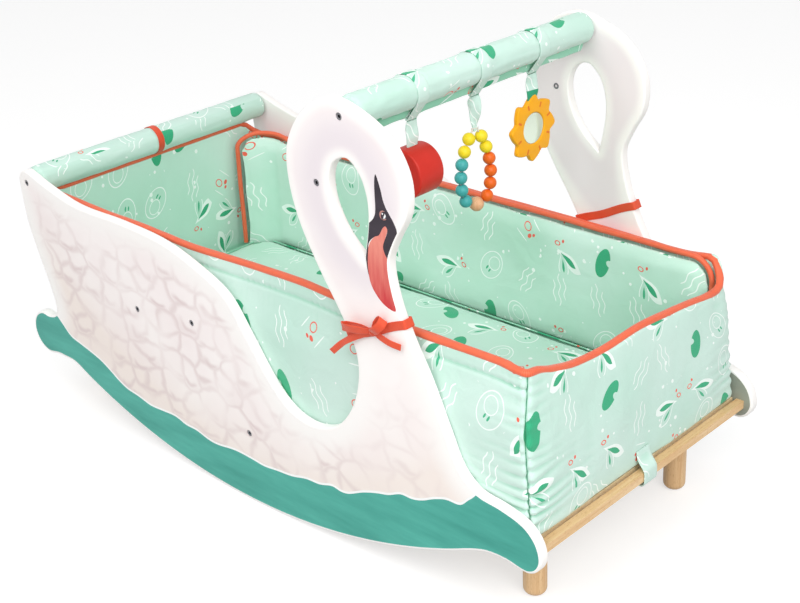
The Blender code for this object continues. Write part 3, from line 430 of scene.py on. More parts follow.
def ripples(tree, x, y, gap, width):
    # wavy strokes side by side
    swing = addNode(tree, "Math", [y, 0.32], operation="MULTIPLY")
    swing = addNode(tree, "Math", [swing], operation="SINE")
    across = addNode(tree, "Math", [swing, 1.5, x], operation="MULTIPLY_ADD")
    across = addNode(tree, "Math", [across, gap / 2], operation="PINGPONG")
    return addNode(tree, "Math", [across, width], operation="LESS_THAN")


def printedCotton(name, mint, deeper):
    # printed cotton percale over wadding: matt, with a soft bloom and a pond print in white, greens and coral
    made, tree = newMaterial(name, 0.8, Sheen_Weight=0.20, Sheen_Roughness=0.5)
    design = {"spacing": 0.072, "scale": 800.0, "ground": mint, "deeper": deeper, "white": "F1FBF6", "leaf": "16A574",
              "pad": "2FAE80", "coral": "EE5A40", "fold": "7CCBA8"}
    cloth = addNode(tree, "UVMap", uv_map="metres").outputs[0]
    cell = addNode(tree, "TexVoronoi", {"Vector": cloth, "Scale": 1 / design["spacing"], "Randomness": 0.42},
                   voronoi_dimensions="2D")
    dice = addNode(tree, "SeparateColor", [cell.outputs["Color"]])
    local = addNode(tree, "VectorMath", [cloth, cell.outputs["Position"]], operation="SUBTRACT")
    local = addNode(tree, "VectorMath", {0: local, "Scale": design["scale"]}, operation="SCALE")
    tilt = addNode(tree, "MapRange", [dice.outputs[0], 0.0, 1.0, -0.9, 0.9])
    local = addNode(tree, "VectorRotate", {"Vector": local, "Angle": tilt}, rotation_type="Z_AXIS")
    turned = addNode(tree, "Math", [dice.outputs[2], 0.5], operation="GREATER_THAN")
    turned = addNode(tree, "Math", [turned, 2.0, -1.0], operation="MULTIPLY_ADD")
    turned = addNode(tree, "CombineXYZ", [turned, 1.0, 1.0])
    local = addNode(tree, "VectorMath", [local, turned], operation="MULTIPLY")
    split = addNode(tree, "SeparateXYZ", [local])
    x, y = split.outputs[0], split.outputs[1]
    slope = addNode(tree, "Math", [x, 0.45, y], operation="MULTIPLY_ADD")
    kinds = {}
    for kind, (start, end) in {"sprig": (0.0, 0.26), "pad": (0.26, 0.44), "ripple": (0.44, 0.64),
                               "pebble": (0.64, 0.82), "bud": (0.82, 1.0)}.items():
        kinds[kind] = addNode(tree, "Math", [dice.outputs[1], (start + end) / 2, (end - start) / 2],
                              operation="COMPARE")
    upright = addNode(tree, "VectorRotate", {"Vector": local, "Angle": 1.25}, rotation_type="Z_AXIS")
    upright = addNode(tree, "SeparateXYZ", [upright])
    # each motif's shapes in the order they're printed: which motif, which colour, and the leaf, ripple or blot
    upX, upY = upright.outputs[0], upright.outputs[1]
    rippled = blot(tree, local, (0, 0), (10.5, 21.0))
    shapes = [
        ("sprig", "white", leafShape(tree, x, slope, 20.0, 10.0, 11.0)),
        ("sprig", "white", leafShape(tree, upX, upY, 19.0, 8.5, 14.0)),
        ("sprig", "ground", leafShape(tree, upX, upY, 17.0, 7.0, 14.0)),
        ("sprig", "leaf", leafShape(tree, x, slope, 12.5, 4.6, 10.0)),
        ("sprig", "pad", leafShape(tree, upX, upY, 9.0, 2.0, 15.0)),
        ("ripple", "white", ripples(tree, x, y, 8.0, 0.7)),
        ("ripple", "ground", addNode(tree, "Math", [rippled, 0.5], operation="LESS_THAN")),
    ]
    for kind, tint, *ellipse in (
        ("sprig", "coral", (-9.0, 11.0), (3.4, 2.6), 0.22), ("sprig", "coral", (-2.0, 16.0), (1.6, 2.2)),
        ("pad", "leaf", (0, 0), (9.5, 19.0)), ("pad", "ground", (10.5, 4.0), (6.5, 4.5)),
        ("pebble", "white", (0, 0), (15.0, 21.0), 0.036), ("pebble", "white", (-2.0, 5.0), (8.0, 10.0), 0.06),
        ("pebble", "pad", (3.0, -8.0), (1.2, 3.4)), ("pebble", "pad", (-2.0, -9.0), (1.1, 3.0)),
        ("bud", "coral", (-4.0, 2.0), (5.6, 4.4), 0.13), ("bud", "coral", (6.0, -4.0), (2.5, 3.3)),
        ("bud", "coral", (9.5, 1.5), (1.8, 2.4)), ("bud", "white", (3.0, 13.0), (9.0, 0.7)),
        ("bud", "white", (-2.0, -13.0), (11.0, 0.7)),
    ):
        shapes.append((kind, tint, blot(tree, local, *ellipse)))
    fade = addNode(tree, "TexNoise", {"Vector": cloth, "Scale": 5.0, "Detail": 1.0})
    shade = addNode(tree, "MapRange", [fade.outputs["Fac"], 0.3, 0.7, 0.0, 1.0])
    colour = addNode(tree, "MixRGB", [shade, linearColour(design["ground"]), linearColour(design["deeper"])])
    # painted shade: where the cloth is hollow, in creases and dents, its colour darkens towards a deeper green
    creaseShade = addNode(tree, "NewGeometry").outputs["Pointiness"]
    creaseShade = addNode(tree, "MapRange", [creaseShade, 0.500, 0.460, 0.0, 0.65])
    colour = addNode(tree, "MixRGB", [creaseShade, colour, linearColour(design["fold"])])
    ground = colour
    drops = addNode(tree, "TexVoronoi", {"Vector": cloth, "Scale": 85.0, "Randomness": 0.9}, voronoi_dimensions="2D")
    dropDice = addNode(tree, "SeparateColor", [drops.outputs["Color"]])
    size = addNode(tree, "MapRange", [dropDice.outputs[0], 0.72, 1.0, 0.0, 0.30])
    wet = addNode(tree, "Math", [drops.outputs["Distance"], size], operation="LESS_THAN")
    patch = addNode(tree, "TexNoise", {"Vector": cloth, "Scale": 21.0, "Detail": 0.0})
    patch = addNode(tree, "Math", [patch.outputs["Fac"], 0.55], operation="GREATER_THAN")
    wet = addNode(tree, "Math", [wet, patch], operation="MULTIPLY")
    colour = addNode(tree, "MixRGB", [wet, colour, linearColour(design["white"])])
    for kind, tint, mask in shapes:
        mask = addNode(tree, "Math", [mask, kinds[kind]], operation="MULTIPLY")
        paint = ground if tint == "ground" else linearColour(design[tint])
        colour = addNode(tree, "MixRGB", [mask, colour, paint])
    threads, bump = weaveAndBump(tree, cloth, 0.0013, 0.00035, 0.003)
    # painted highlight: the raised threads are painted paler
    threadHighlight = addNode(tree, "Math", [threads, 0.10], operation="MULTIPLY")
    colour = addNode(tree, "MixRGB", [threadHighlight, colour, linearColour("DFF5EA")])
    return plug(made, Base_Color=colour, Normal=bump)


def wovenRibbon(name, dark, light, thread=0.0015):
    # polyester grosgrain: fine ribs across and a dull satin gleam; its colour is painted paler on the ribs and darker
    # between them, painted highlight and painted shade, varied by a random tone
    made, tree = newMaterial(name, 0.55, Sheen_Weight=0.2, Sheen_Roughness=0.4)
    cloth = addNode(tree, "UVMap", uv_map="metres").outputs[0]
    rib = addNode(tree, "TexWave", {"Vector": cloth, "Scale": 0.31 / thread, "Distortion": 0.5}, bands_direction="Y")
    tone = addNode(tree, "TexNoise", {"Vector": cloth, "Scale": 60.0, "Detail": 2.0})
    # painted light: pale on the rib crests, darker between the ribs
    share = addNode(tree, "Math", [rib.outputs["Fac"], tone.outputs["Fac"]], operation="MULTIPLY")
    colour = addNode(tree, "MixRGB", [share, linearColour(dark), linearColour(light)])
    bump = addNode(tree, "Bump", {"Height": rib.outputs["Fac"], "Strength": 0.4, "Distance": 0.0004})
    return plug(made, Base_Color=colour, Normal=bump)


def lacquer(name, hexCode, roughness=0.35, mottle=0.06):
    # sprayed water-based lacquer on turned wood: even colour, soft gloss, a trace of orange peel
    made, tree = newMaterial(name, roughness, Coat_Weight=0.05, Coat_Roughness=0.3, Specular_IOR_Level=0.3)
    spot = addNode(tree, "TexCoord").outputs["Object"]
    tone = addNode(tree, "TexNoise", {"Vector": spot, "Scale": 60.0, "Detail": 3.0})
    shade = [channel * (1 - mottle * 2.5) for channel in linearColour(hexCode)[:3]] + [1.0]
    colour = addNode(tree, "MixRGB", [tone.outputs["Fac"], shade, linearColour(hexCode)])
    peel = addNode(tree, "TexNoise", {"Vector": spot, "Scale": 900.0})
    bump = addNode(tree, "Bump", {"Height": peel.outputs["Fac"], "Strength": 0.1, "Distance": 0.0002})
    return plug(made, Base_Color=colour, Normal=bump)


def metal(name, hexCode, roughness):
    # zinc-plated steel, or foil: brushed scratches break up the gleam
    made, tree = newMaterial(name, roughness, 1.0, Base_Color=linearColour(hexCode))
    spot = addNode(tree, "TexCoord").outputs["Object"]
    scuff = addNode(tree, "TexNoise", {"Vector": spot, "Scale": 1200.0, "Detail": 2.0})
    rough = addNode(tree, "MapRange", [scuff.outputs["Fac"], 0.0, 1.0, roughness * 0.8, roughness * 1.25])
    return plug(made, Roughness=rough)


finishes = {
    "panel": paintedPly(),
    "water": brushedPaint("tealPaint", "3B988A", "52B3A3"),
    "waterEdge": brushedPaint("whitePaint", "F4F4F3", "FFFFFF"),
    # grey-olive for the water band on the inner face: painted shade
    "shadeWater": brushedPaint("paintedShadeGrey", "8E9488", "A2A79B"),
    "mask": brushedPaint("maskPaint", "2B242C", "3A323B", 0.45),
    "beak": beakPaint(),
    "eyeRing": brushedPaint("eyeRingPaint", "A9746C", "C48F86"),
    "cotton": printedCotton("printedCotton", "CFE8DE", "BDE0D1"),
    # the inside copy of the cotton is greener and a touch paler than the outside one: painted light for the light
    # within the tub
    "insideLightCotton": printedCotton("insideLightPrintedCotton", "CDEBDE", "B6E0CC"),
    # a deeper green copy of the cotton: painted shade under the sleeves and in the gap at the mattress's edge
    "paintedShadeCotton": printedCotton("paintedShadePrintedCotton", "9AD8BC", "86CFAE"),
    "binding": wovenRibbon("coralBinding", "DE5B36", "F27B55"),
    "ribbon": wovenRibbon("coralRibbon", "D6421F", "EC6238", 0.0012),
    "thread": wovenRibbon("greenThread", "2E7D5C", "3F9A75", 0.0008),
    "whiteCord": wovenRibbon("whiteCord", "DAD6CC", "F5F2EA", 0.0016),
    "beechLong": oiledWood("oiledBeech", 1, "EBC999", "D9AE79"),
    "beechUp": oiledWood("turnedBeech", 2, "EBC899", "D9AE7D"),
    "ply": oiledWood("birchPly", 0, "E9D5AE", "DABE90", 0.007),
    "woodBead": oiledWood("waxedBeechBead", 2, "EDBD92", "DDA678", 0.002),
    "red": lacquer("redLacquer", "D02C1E", 0.45),
    "sun": lacquer("sunYellowLacquer", "FCB010", 0.45, 0.03),
    "dash": lacquer("orangeLacquer", "EE7A10", 0.45),
    "yellowBead": lacquer("yellowLacquer", "F7E02A", 0.4),
    "tealBead": lacquer("tealLacquer", "48B0AE", 0.4),
    "orangeBead": lacquer("orangeBeadLacquer", "F26C1C", 0.4),
    "steel": metal("zincSteel", "7E7E82", 0.30),
    # a dark steel for the inside of the hexagon sockets: painted shade in the recess
    "socket": metal("socketShadeSteel", "2C2C2E", 0.5),
    "foil": metal("mirrorFoil", "DCE8D6", 0.08),
    "tabCotton": wovenRibbon("greenTape", "129066", "2BB083", 0.0014),
}
print("finishes mixed:", len(finishes))


topBar, tailBar, footRail = (nodeMiddle(node) for node in ("top_bar", "tail_bar", "foot_rail"))
panelLow, panelHigh = boxCorners("side_panel_right")

swan = {
    "edge": 0.0024, "rim": 0.0036, "film": 0.00006, "grid": 0.010,
    "rockerRadius": 0.973, "rockerLow": (-0.006, 0.0015), "rockerInset": 0.084,
    "scoop": (0.136, 0.177),
    "toe": ((-0.058, -0.023), (-0.028, -0.0215), (0.004, -0.026), (0.0195, -0.018),
            (0.0265, 0.000), (0.0195, 0.024), (0.000, 0.042), (-0.035, 0.052)),
    "breast": ((0.288, 0.009), (0.261, 0.031), (0.240, 0.075), (0.212, 0.137), (0.184, 0.189), (0.165, 0.235)),
    "head": ((0.0695, -0.172), (0.081, -0.142), (0.1025, -0.102), (0.102, -0.058), (0.078, -0.018),
             (0.034, 0.008), (-0.019, 0.0195), (-0.064, -0.004), (-0.094, -0.047), (-0.0995, -0.090),
             (-0.087, -0.147), (-0.056, -0.208)),
    "nape": ((0.068, 0.189), (0.091, 0.143), (0.0925, 0.100), (0.076, 0.052), (0.044, 0.015),
             (0.000, 0.000), (-0.044, 0.009), (-0.081, 0.041), (-0.121, 0.095), (-0.160, 0.145)),
    "back": ((0.405, -0.041), (0.326, -0.018), (0.230, -0.011), (0.120, -0.010), (0.050, 0.005)),
    "tail": ((-0.018, -0.036), (-0.012, -0.076), (0.006, -0.130), (0.023, -0.176)),
    "notch": ((0.036, 0.054), (0.030, 0.041)),
    "bulb": 0.0365, "bulbEnd": ((0.022, -0.0325), (0.042, -0.0325)),
    "window": ((0.021, -0.094), (-0.008, -0.068), (-0.0255, -0.041), (-0.033, -0.017), (-0.0325, 0.006),
               (-0.022, 0.025), (0.000, 0.0335), (0.019, 0.019), (0.0285, -0.001), (0.032, -0.023),
               (0.030, -0.050), (0.021, -0.094)),
    # the height of the teal water along the panel
    "waterLine": ((-0.560, 0.190), (-0.480, 0.180), (-0.456, 0.170), (-0.441, 0.158), (-0.421, 0.141), (-0.396, 0.134),
                  (-0.371, 0.128), (-0.345, 0.120), (-0.323, 0.109), (-0.305, 0.099), (-0.285, 0.091),
                  (-0.258, 0.087), (-0.229, 0.081), (-0.200, 0.082), (-0.170, 0.083), (-0.146, 0.077),
                  (-0.122, 0.076), (-0.096, 0.070), (-0.074, 0.069), (-0.036, 0.074), (0.000, 0.073),
                  (0.026, 0.071), (0.053, 0.074), (0.084, 0.077), (0.113, 0.084), (0.140, 0.086),
                  (0.165, 0.093), (0.182, 0.091), (0.198, 0.094), (0.225, 0.107), (0.250, 0.116),
                  (0.272, 0.122), (0.294, 0.132), (0.314, 0.133), (0.332, 0.138), (0.354, 0.149),
                  (0.374, 0.156), (0.397, 0.158), (0.415, 0.174), (0.450, 0.200), (0.560, 0.220)),
    "mask": ((0.2797, 0.5700), (0.2768, 0.5560), (0.2768, 0.5330), (0.2759, 0.5201), (0.2717, 0.5114), (0.2630, 0.5022),
             (0.2587, 0.4891), (0.2562, 0.4714), (0.2562, 0.4541), (0.2590, 0.4350), (0.2610, 0.4400), (0.2612, 0.4727),
             (0.2641, 0.4806), (0.2728, 0.4884), (0.2803, 0.4924), (0.2873, 0.5033), (0.2919, 0.5066),
             (0.2948, 0.5024), (0.2919, 0.4933), (0.2864, 0.4820), (0.2864, 0.4721), (0.2901, 0.4653),
             (0.2930, 0.4639), (0.3006, 0.4772), (0.3086, 0.4919), (0.3104, 0.4980), (0.3095, 0.5075),
             (0.3032, 0.5183), (0.2951, 0.5288), (0.2897, 0.5399), (0.2870, 0.5516)),
    "beak": ((0.2652, 0.4800), (0.2614, 0.4715), (0.2594, 0.4560), (0.2590, 0.4402), (0.2627, 0.4225),
             (0.2736, 0.4080), (0.2867, 0.3993), (0.3019, 0.3975), (0.2993, 0.4124), (0.2952, 0.4330),
             (0.2932, 0.4497), (0.2930, 0.4632), (0.2886, 0.4699), (0.2862, 0.4791), (0.2909, 0.4916),
             (0.2948, 0.5024), (0.2919, 0.5066), (0.2873, 0.5033), (0.2803, 0.4924), (0.2728, 0.4884)),
    "eye": (0.2892, 0.5200),
}


def flatArc(centre, radius, start, end, steps):
    angles = [math.radians(start + (end - start) * k / steps) for k in range(steps + 1)]
    return [(centre[0] + radius * math.cos(a), centre[1] + radius * math.sin(a)) for a in angles]


def smoothOutline(points, closed=True, finest=4.0):
    # a smooth curve through the points, with shorter steps where it bends more
    points = [Vector(point) for point in points]
    count = len(points)
    curve = []
    for i in range(count if closed else count - 1):
        p1, p2 = points[i], points[(i + 1) % count]
        p0 = points[i - 1] if closed or i else p1 * 2 - p2
        p3 = points[(i + 2) % count] if closed or i + 2 < count else p2 * 2 - p1
        span = (p2 - p1).length
        leave = (p2 - p0) * span / max((p1 - p0).length + span, 1e-9)
        reach = (p3 - p1) * span / max((p3 - p2).length + span, 1e-9)
        bend = leave.angle(p2 - p1, 0) + reach.angle(p2 - p1, 0)
        steps = max(2, round(bend / math.radians(finest)), round(span / 0.012))
        for k in range(steps):
            t = k / steps
            spot = p1 * (2 * t ** 3 - 3 * t * t + 1) + leave * (t ** 3 - 2 * t * t + t)
            curve.append(spot + p2 * (3 * t * t - 2 * t ** 3) + reach * (t ** 3 - t * t))
    if not closed:
        curve.append(points[-1])
    return curve


def swanOutline():
    toe = (footRail.x - 0.007, footRail.z + 0.002)
    bulb = (-footRail.x + 0.017, footRail.z + 0.002)
    low = swan["rockerLow"]
    toeTurn = math.degrees(math.asin((toe[0] - swan["rockerInset"] - low[0]) / swan["rockerRadius"]))
    tailTurn = math.degrees(math.asin((low[0] + footRail.x - swan["rockerInset"]) / swan["rockerRadius"]))
    points = flatArc((low[0], low[1] + swan["rockerRadius"]), swan["rockerRadius"], -90 - tailTurn, -90 + toeTurn, 24)

    def near(anchor, offsets):
        return [(anchor[0] + dx, anchor[1] + dz) for dx, dz in offsets]

    points += near(toe, swan["toe"]) + near(swan["scoop"], swan["breast"])
    points += near((topBar.x, topBar.z), swan["head"]) + near(swan["scoop"], swan["nape"])
    points += near((tailBar.x, tailBar.z), swan["back"]) + flatArc((tailBar.x, tailBar.z), 0.020, 80, 185, 5)
    points += near((tailBar.x, tailBar.z), swan["tail"]) + near(bulb, swan["notch"])
    points += flatArc(bulb, swan["bulb"], 72, 268, 7) + near(bulb, swan["bulbEnd"])
    return smoothOutline(points)


def flatShape(name, loops, middleY, thickness, edge=0.0, shrink=0.0):
    # a flat curve of one or more loops, filled, thickened, its rims rounded, and stood upright
    bpy.ops.object.select_all(action="DESELECT")
    bpy.ops.curve.primitive_bezier_circle_add()
    piece = bpy.context.active_object
    curve = piece.data
    curve.splines.clear()
    curve.dimensions = "2D"
    curve.fill_mode = "BOTH"
    for loop in loops:
        spline = curve.splines.new("POLY")
        spline.points.add(len(loop) - 1)
        for point, spot in zip(spline.points, loop):
            point.co = (spot[0], spot[1], 0, 1)
        spline.use_cyclic_u = True
    curve.extrude = thickness / 2 - edge
    curve.bevel_depth = edge
    curve.bevel_resolution = 3 if edge else 0
    curve.offset = -edge - shrink
    piece.location = (0, middleY, 0)
    piece.rotation_euler = (math.radians(90), 0, 0)
    bpy.ops.object.convert(target="MESH")
    bpy.ops.object.transform_apply(location=True, rotation=True, scale=True)
    bpy.ops.object.mode_set(mode="EDIT")
    bpy.ops.mesh.select_all(action="SELECT")
    bpy.ops.mesh.remove_doubles(threshold=0.000005)
    bpy.ops.mesh.normals_make_consistent(inside=False)
    bpy.ops.object.mode_set(mode="OBJECT")
    piece.name = name
    return piece


outline = swanOutline()
windowAt = (topBar.x + 0.0075, topBar.z - 0.085)
window = smoothOutline([(windowAt[0] + dx, windowAt[1] + dz) for dx, dz in swan["window"]], closed=False)[:-1]


def paintFilm(name, points, faceY, rim, finish):
    # a coat of paint that ends at the panel's rim: a thin flat shape cut to the swan's outline
    film = flatShape(name, [points], faceY, swan["film"] * 2)
    cut(film, flatShape("silhouette", [outline, window], faceY, 0.01, 0.0, rim), "INTERSECT")
    useMaterial(film, finish)
    return film


def crescent(centre, radius, start, end, width):
    outer = flatArc(centre, radius, start, end, 14)
    steps = len(outer) - 1
    inner = [(centre[0] + (x - centre[0]) * (1 - width * math.sin(math.pi * k / steps)),
              centre[1] + (z - centre[1]) * (1 - width * math.sin(math.pi * k / steps)))
             for k, (x, z) in enumerate(outer)]
    return outer + inner[-2:0:-1]


facingOut = (math.radians(90), 0, 0)


def swanPanel():
    near, far = panelLow.y, panelHigh.y
    panel = flatShape("swanPanelRight", [outline, window], (near + far) / 2, far - near, swan["edge"])
    useMaterial(panel, finishes["panel"])
    bolts = []
    for x, z in boltPlaces:
        bolts.append(addMesh(bpy.ops.mesh.primitive_cylinder_add, vertices=32, radius=bolt["headRadius"] + 0.0006,
                             depth=0.008, location=(x, near, z), rotation=facingOut))
    cut(panel, joinPieces(bolts))
    mesh = bmesh.new()
    mesh.from_mesh(panel.data)
    for axis, start, end in ((0, panelLow.x, panelHigh.x), (2, panelLow.z, panelHigh.z)):
        normal = [0, 0, 0]
        normal[axis] = 1
        for k in range(1, int((end - start) / swan["grid"])):
            at = [0, 0, 0]
            at[axis] = start + k * swan["grid"]
            bmesh.ops.bisect_plane(mesh, geom=mesh.verts[:] + mesh.edges[:] + mesh.faces[:],
                                   plane_co=at, plane_no=normal)
    mesh.to_mesh(panel.data)
    mesh.free()
    names = ("edgeDistance", "plumage", "nearWater", "headAirbrushAndInnerShade")
    for name in names:
        panel.data.attributes.new(name, "FLOAT", "POINT")
    rimAttribute, plumage, nearWater, headAirbrushAndInnerShade = (panel.data.attributes[name] for name in names)
    rims = [[(a, b) for a, b in zip(loop, loop[1:] + loop[:1])] for loop in (outline, window)]
    spots = {}
    for i, vertex in enumerate(panel.data.vertices):
        x, y, z = vertex.co
        key = (round(x, 4), round(z, 4))
        if key not in spots:
            here = Vector((x, z))
            reach = []
            for edges in rims:
                best = 0.1
                for a, b in edges:
                    if abs(a.x - x) < best and abs(a.y - z) < best:
                        along = b - a
                        share = min(max((here - a).dot(along) / max(along.length_squared, 1e-12), 0), 1)
                        best = min(best, (here - a - along * share).length)
                reach.append(best)
            spots[key] = reach
        toRim, toWindow = spots[key]
        onHead = min(max((z - 0.36) / 0.08, 0), 1)
        rimAttribute.data[i].value = min(toRim, toWindow) * (1 + 1.6 * onHead)
        outside = 1.0 if y < (near + far) / 2 else 0.0
        body = 1 / (1 + math.exp((x - 0.17 - 0.9 * max(0.2 - z, 0)) / 0.035)) * (1 / (1 + math.exp((z - 0.36) / 0.02)))
        plumage.data[i].value = outside * max(body, 0.55 / (1 + math.exp((z - 0.24) / 0.03)))
        # outside, the head's lilac airbrush round the window; the inner face takes the lilac at 0.7 all over, painted
        # shade
        headAirbrushAndInnerShade.data[i].value = onHead * math.exp(-((toWindow - 0.024) / 0.034) ** 2) if outside else 0.7
        nearWater.data[i].value = outside * math.exp(-max(z - 0.075 - 0.9 * x * x, 0) / 0.045) * 0.85
    below = [Vector(point) for point in smoothPath([(x, z, 0) for x, z in swan["waterLine"]], 5)]
    coats = [panel]
    # on the inner face the water band is grey-olive, painted shade standing for the band in shade
    for name, faceY, finish in (("outerWater", near, "water"), ("innerWater", far, "shadeWater")):
        side = -1 if faceY == near else 1
        for layer, lift, coat in ((0, 0.0034, "waterEdge"), (1, 0.0, finish)):
            line = [(p.x, p.y + lift) for p in below] + [(0.56, -0.05), (-0.56, -0.05)]
            rim = swan["rim"] - (0.0008 if layer == 0 else 0)
            coats.append(paintFilm(name + str(layer), line, faceY + side * swan["film"] * layer, rim, finishes[coat]))
    mask = smoothOutline(swan["mask"])
    beak = smoothOutline(swan["beak"])
    coats.append(paintFilm("mask", mask, near, 0.0022, finishes["mask"]))
    coats.append(paintFilm("beak", beak, near - swan["film"], 0.0022, finishes["beak"]))
    eye = swan["eye"]
    for name, loop, layer, finish in (
        ("eyeRing", crescent(eye, 0.0062, 60, 250, 0.42), 1, "eyeRing"),
        ("eyeRing2", crescent(eye, 0.0060, 250, 330, 0.25), 1, "eyeRing"),
        ("eyeWhite", crescent((eye[0] + 0.0004, eye[1] - 0.0002), 0.0036, -110, 55, 0.85), 2, "waterEdge"),
        ("eyeSpark", flatArc((eye[0] - 0.0012, eye[1] + 0.0018), 0.0011, 0, 345, 23), 2, "waterEdge"),
    ):
        film = flatShape(name, [loop], near - swan["film"] * layer, swan["film"] * 2)
        useMaterial(film, finishes[finish])
        coats.append(film)
    panel = joinPieces(coats)
    return settle(panel, "swanPanelRight", 30)


bolt = {"headRadius": 0.0044, "headHeight": 0.0022, "hexRadius": 0.0024, "hexDepth": 0.0016,
        "sunk": 0.0006, "proud": 0.0008}
namedBolts = {}
for kind in ("tail_bar", "top_bar", "neck", "cross_rail_tail", "cross_rail_middle", "cross_rail_breast"):
    low, high = boxCorners(f"bolt_{kind}_right")
    namedBolts[kind] = ((low.x + high.x) / 2, (low.z + high.z) / 2)
boltPlaces = list(namedBolts.values()) + [(-0.232, 0.244), (-0.105, 0.259)]


def hexBolt():
    # a button head with a hexagon socket, facing -Y at the origin
    head = addMesh(bpy.ops.mesh.primitive_cylinder_add, vertices=36, radius=bolt["headRadius"],
                   depth=bolt["headHeight"], location=(0, bolt["headHeight"] / 2, 0), rotation=facingOut)
    cut(head, addMesh(bpy.ops.mesh.primitive_cylinder_add, vertices=6, radius=bolt["hexRadius"],
                      depth=bolt["hexDepth"] * 2, location=(0, 0, 0), rotation=facingOut))
    addBevel(head, 0.0003, 2)
    useMaterial(head, finishes["steel"], finishes["socket"])
    settle(head, "hexBolt", 35)
    # the faces inside the hexagon socket take the dark steel, painted shade in the recess
    for face in head.data.polygons:
        middle = face.center
        deep = math.hypot(middle.x, middle.z) < bolt["hexRadius"] * 1.02 and middle.y > 0.0004
        face.material_index = 1 if deep and middle.y < bolt["headHeight"] - 0.0002 else 0
    return head


def mirror(piece):
    piece.data.transform(Matrix.Scale(-1, 4, (0, 1, 0)))
    piece.data.flip_normals()


def copyOf(piece, name, mirrored=False):
    # a copy with its own mesh, so that a mirrored one needs no negative scale
    made = piece.copy()
    made.data = piece.data.copy()
    made.name = name
    bpy.context.scene.collection.objects.link(made)
    if mirrored:
        mirror(made)
    return made


panelRight = swanPanel()
panelLeft = copyOf(panelRight, "swanPanelLeft", mirrored=True)
for piece, side in ((panelRight, "right"), (panelLeft, "left")):
    declare(piece, "frame", "side_panel_" + side)
model = hexBolt()
for side in ("right", "left"):
    for i, (x, z) in enumerate(boltPlaces):
        kind = list(namedBolts)[i] if i < len(namedBolts) else f"body{i}"
        turned = copyOf(model, f"bolt_{kind}_{side}".replace("_", "-"))
        turned.data.transform(Matrix.Rotation(0.7 * i, 4, "Y"))
        turned.data.transform(Matrix.Translation((0, panelLow.y + bolt["sunk"], 0)))
        if kind == "neck":
            # this one goes right through, and its sleeve nut shows on the inner face
            nut = copyOf(model, "nut", mirrored=True)
            nut.data.transform(Matrix.Translation((0, panelHigh.y + bolt["proud"], 0)))
            turned = joinPieces([turned, nut])
        if side == "left":
            mirror(turned)
        turned.data.transform(Matrix.Translation((x, 0, z)))
        declare(turned, "frame", f"bolt_{kind}_{side}" if kind in namedBolts else None)
bpy.data.objects.remove(model, do_unlink=True)
print("swan panels painted and bolted")


for node in ("foot_rail", "tail_rail", "cross_rail_tail", "cross_rail_middle", "cross_rail_breast",
             "top_bar", "tail_bar"):
    useMaterial(nodes[node], finishes["beechLong"])
useMaterial(nodes["base_board"], finishes["ply"])
useMaterial(nodes["bead_cord"], finishes["whiteCord"])

leg = {"radius": 0.016, "dome": 0.0098}
for node in ("leg_breast_left", "leg_breast_right", "leg_tail_left", "leg_tail_right"):
    low, high = boxCorners(node)
    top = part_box("base_board")[0][2] - 0.0003
    piece = addMesh(bpy.ops.mesh.primitive_cylinder_add, vertices=56, radius=leg["radius"], depth=top,
                    location=((low.x + high.x) / 2, (low.y + high.y) / 2, top / 2))
    bpy.ops.object.mode_set(mode="EDIT")
    mesh = bmesh.from_edit_mesh(piece.data)
    for edge in mesh.edges:
        edge.select_set(all(vertex.co.z < 0 for vertex in edge.verts))
    bmesh.update_edit_mesh(piece.data)
    bpy.ops.mesh.bevel(offset=leg["dome"], segments=8, profile=0.5)
    bpy.ops.object.mode_set(mode="OBJECT")
    useMaterial(piece, finishes["beechUp"])
    settle(piece, node.replace("leg_", "peg-").replace("_", "-"), 50)
    declare(piece, "frame", node)
print("wood done")


tubLow, tubHigh = boxCorners("tub")
tub = {
    "wall": 0.0085, "lean": 0.013, "floor": 0.004,
    # each corner's radius at the floor and at the rim
    "corners": {(1, -1): (0.008, 0.010), (1, 1): (0.010, 0.036), (-1, 1): (0.040, 0.046), (-1, -1): (0.026, 0.026)},
    "rows": 66, "seamDepth": 0.0030, "pucker": 0.0062, "bulge": 0.0060, "bandDrop": 0.022,
    # how far the rim stands over or under its even height, along the near, far and foot walls
    "nearRim": ((-0.50, 0.015), (-0.41, 0.014), (-0.33, 0.011), (-0.23, 0.011), (-0.13, 0.008), (-0.05, 0.011),
                (0.03, 0.014), (0.11, 0.015), (0.21, 0.009), (0.32, 0.004), (0.42, 0.006), (0.50, 0.004)),
    "farRim": ((-0.50, -0.013), (-0.30, -0.015), (-0.04, -0.016), (0.12, -0.015), (0.25, -0.015), (0.34, -0.017),
               (0.39, -0.018), (0.43, -0.015), (0.46, -0.009), (0.50, -0.004)),
    "footRim": ((-0.24, 0.003), (-0.208, 0.000), (-0.170, -0.0105), (-0.127, -0.0215), (-0.060, -0.027),
                (0.011, -0.0255), (0.086, -0.032), (0.140, -0.039), (0.175, -0.0435), (0.203, -0.042),
                (0.219, -0.031), (0.2275, -0.017), (0.233, -0.007), (0.24, -0.004)),
    "tailRim": 0.011, "nearLean": 0.0115,
}
rimCurves = {wall: smoothPath([(place, rise, 0) for place, rise in tub[wall]], 5)
             for wall in ("nearRim", "farRim", "footRim")}


def ease(value, start, end):
    share = min(max((value - start) / (end - start), 0), 1)
    return share * share * (3 - 2 * share)


def alongCurve(curve, place):
    for a, b in zip(curve, curve[1:]):
        if place <= b.x:
            return a.y + (b.y - a.y) * min(max((place - a.x) / (b.x - a.x), 0), 1)
    return curve[-1].y


